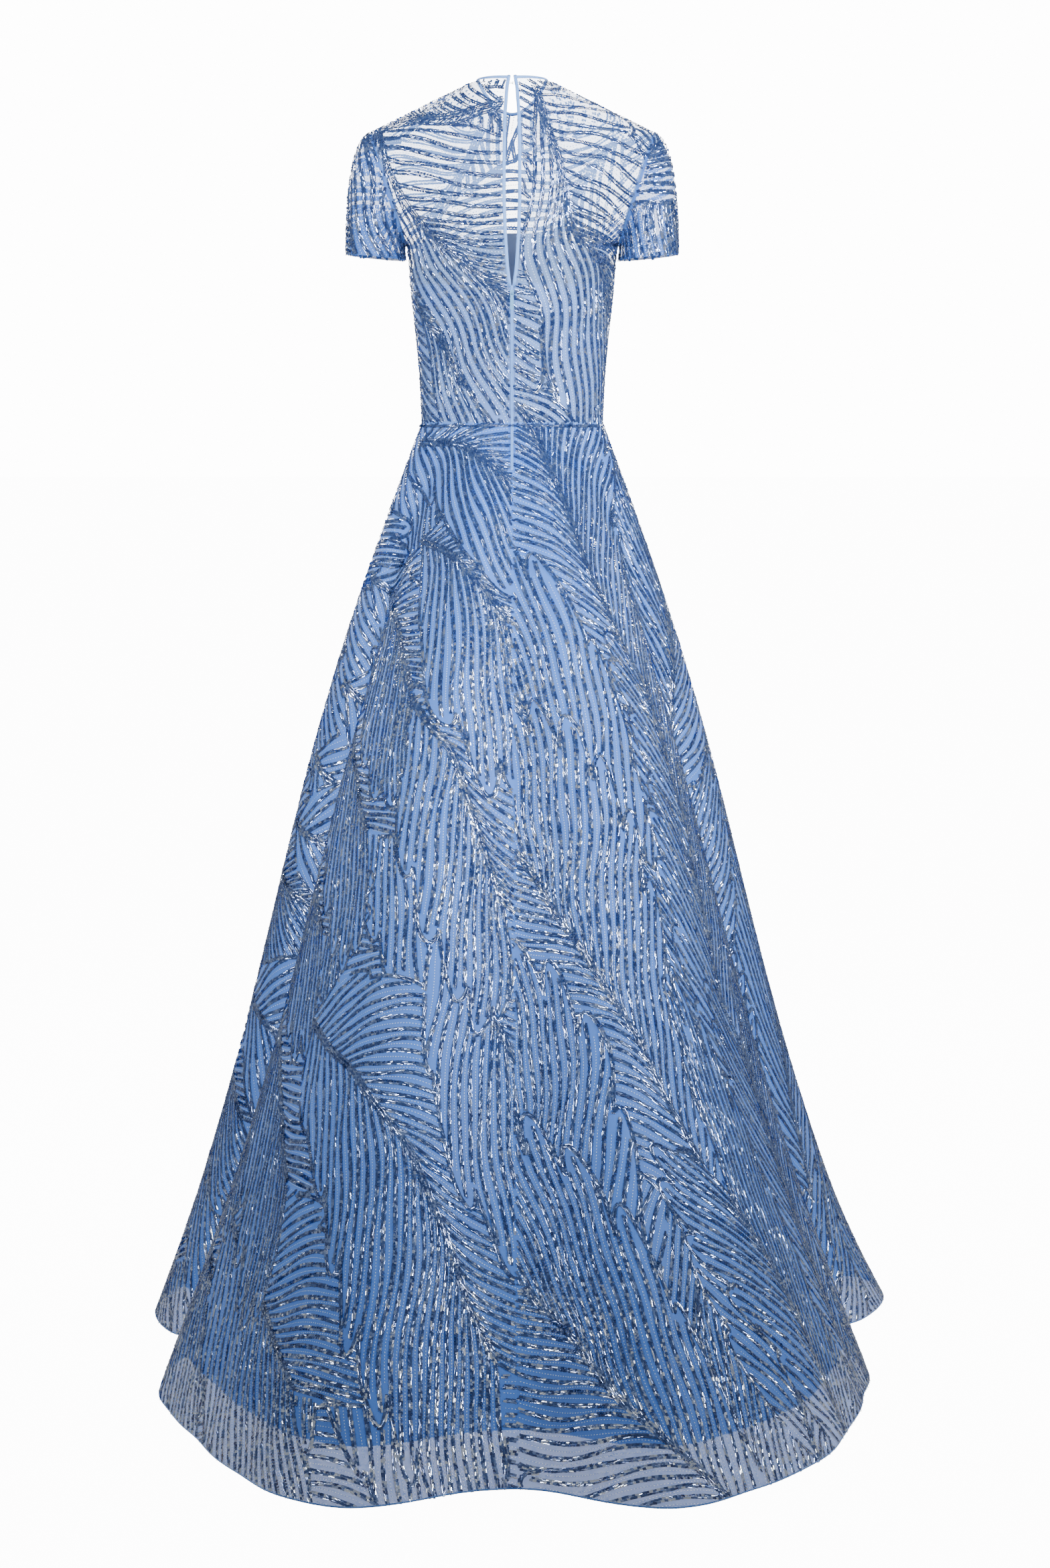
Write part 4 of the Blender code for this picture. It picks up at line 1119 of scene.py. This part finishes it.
def leaf_lines(leaf, spacing):
    """Bead rows and stitch rows of one leaf: veins, midrib and outline."""
    beads, stitches = [], []
    for side in (1, -1):
        run = leaf.slant(side) + SPLAY / 2 + 0.12 * BEND
        high = leaf.base[1] + leaf.along[1] * leaf.length / 2 > -HIGH_ROWS
        pitch = (BODICE_SPACING if high else spacing) * np.hypot(1, run)
        pitch /= 1 + 0.06 * SPLAY / leaf.length
        for step in range(int(2 * leaf.length / pitch)):
            start = (step + 0.5) * pitch / 2
            if start > leaf.length * 0.985:
                continue
            beaded = step % 2 == 0
            reach = leaf.reach(side, np.array([start]))[0]
            first, share = BEADED_RUN if beaded else STITCHED_RUN
            lateral = np.linspace(first, reach * share, 60)
            wave = 0.0022 * np.sin(lateral * 62 + 1.3 * step + leaf.phase)
            wave *= np.minimum(1, lateral / 0.02)
            line = leaf.place(leaf.row_at(side, start, lateral) + wave, side * lateral)
            (beads if beaded else stitches).append(line)
        start = np.linspace(0.02 * leaf.length, 0.995 * leaf.length, 160)
        lateral = leaf.reach(side, start) + 0.0015
        beads.append(leaf.place(leaf.row_at(side, start, lateral), side * lateral))
        along = np.linspace(0, leaf.length * 0.98, 60)
        beads.append(leaf.place(along, side * (0.0028 - 0.0012 * along / leaf.length)))
    return beads, stitches


def ground_lines(low, high, spacing):
    """Rows that flow down where no leaf lies."""
    lines = []
    y = np.arange(low[1], high[1], 0.004)
    for step in range(int((high[0] - low[0]) / spacing * 2)):
        x = low[0] + step * spacing / 2 + 0.010 * np.sin(17 * y)
        lines.append(np.stack((x, y), axis=1))
    return lines[::2], lines[1::2]


def drift(spots, seed, swing):
    """Slow uneven shift of the whole layout, so that no two rows run quite alike."""
    x, y = spots[:, 0], spots[:, 1]
    move_x = 0.0060 * np.sin(15 * y + 7 * x + seed)
    move_x += 0.0016 * swing * np.sin(41 * y - 24 * x + 2 * seed)
    move_y = 0.0050 * np.sin(17 * x - 6 * y + seed)
    move_y += 0.0014 * swing * np.sin(47 * x + 15 * y + 3 * seed)
    return spots + np.stack((move_x, move_y), axis=1)


def drifted(found, seed, swing):
    spots = drift(found[:, :2], seed, swing)
    way = drift(found[:, :2] + found[:, 2:] * 0.0005, seed, swing) - spots
    return np.concatenate((spots, way / np.linalg.norm(way, axis=1, keepdims=True)), axis=1)


def lay_out(panel, table, seed):
    """Flat places and directions of a panel's beads and of its stitches. A higher leaf hides what
    is under it."""
    leaves = panel_leaves(panel, table, seed)
    low, high = bounds_of(panel, 0.02)
    if panel.name.startswith("skirt"):
        spacing, swing, bead_step = ROW_SPACING, 1, BEAD_STEP
    else:
        spacing, swing, bead_step = BODICE_SPACING, 2.6, SHEER_BEAD_STEP
    laid = ([], [])
    for leaf in [None, *leaves]:
        rows = leaf_lines(leaf, spacing) if leaf else ground_lines(low, high, spacing)
        over = [other for other in leaves if not leaf or other.layer > leaf.layer]
        for kept, lines, step, margin in zip(laid, rows, (bead_step, STITCH_STEP), MARK_MARGINS):
            found = np.concatenate([even_steps(line, step) for line in lines])
            found = found[((found[:, :2] > low) & (found[:, :2] < high)).all(axis=1)]
            for other in over:
                found = found[~other.covers(found[:, :2], margin)]
            kept.append(found)
    return [drifted(np.concatenate(kept), seed, swing) for kept in laid]


def under_trim(here):
    """Marks that would lie under the slit's bindings or the zip's edges."""
    height = here[:, 2] + SHOULDER_HEIGHT
    slit = np.interp(height, SLIT_HEIGHTS, SLIT_HALF_WIDTHS) + BINDING_WIDTH + 0.0012
    zipped = (height > ZIP_END - 0.008) & (height < SLIT_BOTTOM)
    half_width = np.where(height >= SLIT_BOTTOM, slit, np.where(zipped, 0.0034, 0.0))
    return (np.abs(here[:, 0]) < half_width) & (here[:, 1] > 0)


def on_panel(panel, laid, margin=0.0010):
    """Marks that fall inside a panel: their places, the cloth's normals and their directions."""
    u, v, inside = panel.from_flat(laid[:, :2])
    laid, u, v = laid[inside], u[inside], v[inside]
    keep = np.ones(len(laid), bool)
    for offset in ((margin, 0), (-margin, 0), (0, margin), (0, -margin)):
        keep &= panel.from_flat(laid[:, :2] + offset)[2]
    keep &= ~under_trim(panel.surface(u, v))
    if panel.name.startswith("bodice"):
        keep &= v < NECK_LEVEL - 0.20
    laid, u, v = laid[keep], u[keep], v[keep]
    ahead_u, ahead_v, _ = panel.from_flat(laid[:, :2] + laid[:, 2:] * 0.001)
    here, normal = panel.frame_at(u, v)
    way = panel.surface(ahead_u, ahead_v) - here
    way -= normal * (way * normal).sum(axis=1, keepdims=True)
    return here, normal, unit(way)


# A sequin is oblong and folded along its middle
BEAD_CORNERS = np.array(
    [(-0.5, -0.5, 0), (0.5, -0.5, 0), (0.5, 0, 1), (-0.5, 0, 1), (0.5, 0.5, 0), (-0.5, 0.5, 0)]
)
BEAD_FACES = np.array([(0, 1, 2), (0, 2, 3), (3, 2, 4), (3, 4, 5)])
STITCH_CORNERS = np.array([(-0.5, 0, 0), (0, -0.5, 0.35), (0.5, 0, 0), (0, 0.5, 0.35)])
STITCH_FACES = np.array([(0, 1, 3), (1, 2, 3)])
STITCH_SIZE, STITCH_LEAN = (0.0021, 0.0012, 0.0006), (0.10, 0.03, 0.10)
OWN_LEAN, SHARED_LEAN, GLINT_LENGTHS, SIZE_SPREAD = 0.55, 0.85, (0.02, 0.07), (0.85, 1.15)

# Height above the hem, and how far up the range from navy to silver the marks reach there. This is
# painted shade and painted light:
# it darkens the sequins at the skirt top, on the lower skirt and on the yoke, and lightens them
# near the hem
PAINTED_SHADE_AND_LIGHT_REACH = [
    (0.05, 1.20), (0.15, 1.05), (0.25, 0.84), (0.45, 0.84), (0.58, 1.0), (0.85, 1.0),
    (1.00, 0.62), (1.12, 0.62), (1.15, 0.88), (1.37, 0.88), (1.43, 0.62),
]


def shared_lean(here, draw):
    """Leans that change slowly over the cloth, so that whole lengths of a row catch the light."""
    total = np.zeros((len(here), 3))
    for _ in range(6):
        waves = draw.normal(0, 1, (3, 3))
        length = np.linalg.norm(waves, axis=1, keepdims=True) * draw.uniform(*GLINT_LENGTHS)
        waves *= 2 * pi / length
        total += np.sin(here @ waves.T + draw.uniform(0, 2 * pi, 3))
    return total * 0.577


def joined_marks(name, here, normal, way, corners, faces, size, out, tilt, material, seed):
    """Many small marks as one mesh. size is length, width and height of each."""
    draw = np.random.default_rng(seed)
    count = len(here)
    own = OWN_LEAN * draw.normal(0, 1, (count, 3))
    lean = (own + SHARED_LEAN * shared_lean(here, draw)) * tilt
    side = np.cross(normal, way)
    way = way + side * lean[:, :1] + normal * lean[:, 1:2]
    way /= np.linalg.norm(way, axis=1, keepdims=True)
    side = side + normal * lean[:, 2:3]
    side -= way * (side * way).sum(axis=1, keepdims=True)
    side /= np.linalg.norm(side, axis=1, keepdims=True)
    up = np.cross(way, side)
    scale = np.asarray(size)[None, :] * draw.uniform(*SIZE_SPREAD, (count, 3))
    local = corners[None] * scale[:, None, :]
    points = (
        (here + normal * out)[:, None, :]
        + local[..., :1] * way[:, None, :]
        + local[..., 1:2] * side[:, None, :]
        + local[..., 2:3] * up[:, None, :]
    )
    corner_count = len(corners)
    triangles = (faces[None] + (np.arange(count) * corner_count)[:, None, None]).reshape(-1, 3)
    data = bpy.data.meshes.new(name)
    data.vertices.add(count * corner_count)
    data.vertices.foreach_set("co", points.astype(np.float32).ravel())
    data.loops.add(triangles.size)
    data.loops.foreach_set("vertex_index", triangles.astype(np.int32).ravel())
    data.polygons.add(len(triangles))
    data.polygons.foreach_set("loop_start", np.arange(0, triangles.size, 3, dtype=np.int32))
    data.update(calc_edges=True)
    # Painted shade and light: each mark's random tone is scaled by height, darker at the skirt top,
    # lower skirt and yoke, lighter near the hem
    reach = np.interp(here[:, 2] + SHOULDER_HEIGHT, *zip(*PAINTED_SHADE_AND_LIGHT_REACH))
    tones = np.minimum(draw.random(count) * reach, 1.0)
    tone_and_painted_shade = data.attributes.new("tone_and_painted_shade", "FLOAT", "POINT")
    tone_and_painted_shade.data.foreach_set("value", np.repeat(tones, corner_count).astype(np.float32))
    return add_piece(name, data, material)


marks = {}
for seed, (name, leaves) in enumerate(LEAVES.items()):
    panel = PANELS[name]
    beads, stitches = lay_out(panel, leaves, seed)
    marks[name] = []
    bead_size = np.array(BEAD_SIZE) * (1.0, 1.3 if name.startswith("sleeve") else 1.0, 1.0)
    for line, order in ((-1, "first"), (1, "second")):
        moved = beads.copy()
        moved[:, :2] += line * np.stack((-beads[:, 3], beads[:, 2]), axis=1) * ROW_HALF_WIDTH
        moved[:, :2] += beads[:, 2:] * (line * BEAD_STEP / 4)
        sewn = joined_marks(
            name + "_sequins_" + order, *on_panel(panel, moved), BEAD_CORNERS, BEAD_FACES,
            bead_size, NET_OUT + 0.0006, BEAD_LEAN, SEQUINS, 100 + 10 * seed + line,
        )
        marks[name].append(sewn)
    sewn = joined_marks(
        name + "_stitches", *on_panel(panel, stitches), STITCH_CORNERS, STITCH_FACES,
        STITCH_SIZE, NET_OUT + 0.0003, STITCH_LEAN, THREAD, 200 + seed,
    )
    marks[name].append(sewn)

place, down = np.linspace(0.01, FOLD_COUNT - 0.01, 195), np.full(195, 0.0035)
here, normal = PANELS["skirt_front"].frame_at(place, down)
ahead = skirt_point(place + 0.01, down)
seams["waist"] = joined_marks(
    "waist_beads", here, normal, unit(ahead - here), BEAD_CORNERS, BEAD_FACES,
    (0.0050, 0.0036, 0.0010), NET_OUT + 0.0012, (0.20, 0.20, 0.28), SEQUINS, 99,
)


for name, piece in pieces.items():
    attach(piece, "gown")
    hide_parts(name)
for extra in (*marks.values(), seams.values()):
    for item in extra:
        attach(item, "gown")
for name, piece in trims.items():
    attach(piece, "gown")
    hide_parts(name)
for name in ("zip_slider", "zip_pull", "neck_hook", "neck_eye"):
    node = bpy.data.objects[name]
    for slot in node.material_slots:
        slot.material = ENAMEL if name.startswith("zip") else WIRE
for name, panel in PANELS.items():
    width, length = (float(size) for size in panel.flat_size())
    float(panel.area())


# ---------------------------------------------------------------- studio
def area_light(name, place, aim, size, power, spread):
    lamp = bpy.data.lights.new(name, "AREA")
    lamp.shape, lamp.size, lamp.size_y = "RECTANGLE", size[0], size[1]
    lamp.energy, lamp.spread = power, radians(spread)
    item = bpy.data.objects.new(name, lamp)
    item.location = place
    item.rotation_euler = (Vector(aim) - Vector(place)).to_track_quat("-Z", "Y").to_euler()
    bpy.context.scene.collection.objects.link(item)


area_light("overhead", (-0.40, 2.5, 1.9), (-0.05, 0, -0.22), (1.1, 0.4), 2.6, 44)
area_light("glint_left", (1.7, 4.6, 0.4), (0, 0.1, -0.02), (0.6, 0.8), 5.5, 34)
area_light("glint_right", (-1.8, 4.6, 0.5), (0, 0.1, -0.02), (0.6, 0.8), 8, 34)
area_light("side_left", (3.6, 2.4, 1.0), (0.1, 0.2, -0.45), (0.8, 1.1), 9.5, 36)
area_light("side_right", (-3.9, 1.9, 1.0), (-0.15, 0.2, -0.4), (0.8, 1.1), 16, 38)
area_light("front_left", (1.9, -4.4, 1.2), (0, -0.2, -0.3), (0.9, 1.6), 44, 100)
area_light("front_right", (-1.9, -4.4, 1.2), (0, -0.2, -0.3), (0.9, 1.6), 44, 100)

world = bpy.data.worlds.new("studio")
world.use_nodes = True
sky = world.node_tree
behind, around = sky.nodes["Background"], sky.nodes.new("ShaderNodeBackground")
behind.inputs[0].default_value, behind.inputs[1].default_value = (1.0, 1.0, 1.0, 1.0), 14.0
around.inputs[0].default_value, around.inputs[1].default_value = (0.80, 0.88, 1.0, 1.0), 0.30
seen, both = sky.nodes.new("ShaderNodeLightPath"), sky.nodes.new("ShaderNodeMixShader")
sky.links.new(seen.outputs["Is Camera Ray"], both.inputs[0])
sky.links.new(around.outputs[0], both.inputs[1])
sky.links.new(behind.outputs[0], both.inputs[2])
sky.links.new(both.outputs[0], sky.nodes["World Output"].inputs[0])
bpy.context.scene.world = world

floor_mesh = bmesh.new()
bmesh.ops.create_grid(floor_mesh, x_segments=1, y_segments=1, size=60)
bmesh.ops.translate(floor_mesh, vec=(0, 0, -SHOULDER_HEIGHT - 0.0012), verts=floor_mesh.verts)
floor_data = bpy.data.meshes.new("floor")
floor_mesh.to_mesh(floor_data)
floor_mesh.free()
pale, pale_tree, pale_shader = plain_material("pale_floor", 0.9)
pale_shader.inputs["Base Color"].default_value = (0.30, 0.30, 0.31, 1.0)
pale_shader.inputs["Emission Strength"].default_value = 1.0
glow = pale_tree.nodes.new("ShaderNodeLightPath")
glow_cast, glow_seen = (0.10, 0.10, 0.10), (13.1, 13.1, 13.1)
lit = blend_colours(pale_tree, glow.outputs["Is Camera Ray"], glow_cast, glow_seen)
pale_tree.links.new(lit, pale_shader.inputs["Emission Color"])
add_piece("floor", floor_data, pale)

# The photo's height and the camera's distance from it, in its own points, and how far the gown's
# middle lies under the horizon
PHOTO_HEIGHT, PHOTO_DISTANCE, UNDER_HORIZON, SENSOR = 2342.0, 6000.0, 566.0, 36.0
camera_data = bpy.data.cameras.new("camera")
camera_data.sensor_width = SENSOR
camera_data.lens = SENSOR * PHOTO_DISTANCE / PHOTO_HEIGHT
camera = bpy.data.objects.new("camera", camera_data)
camera.location = (-0.0158, 5.0, 1.15 - SHOULDER_HEIGHT)
camera.rotation_euler = (pi / 2 - atan(UNDER_HORIZON / PHOTO_DISTANCE), 0.0, pi)
bpy.context.scene.collection.objects.link(camera)
bpy.context.scene.camera = camera
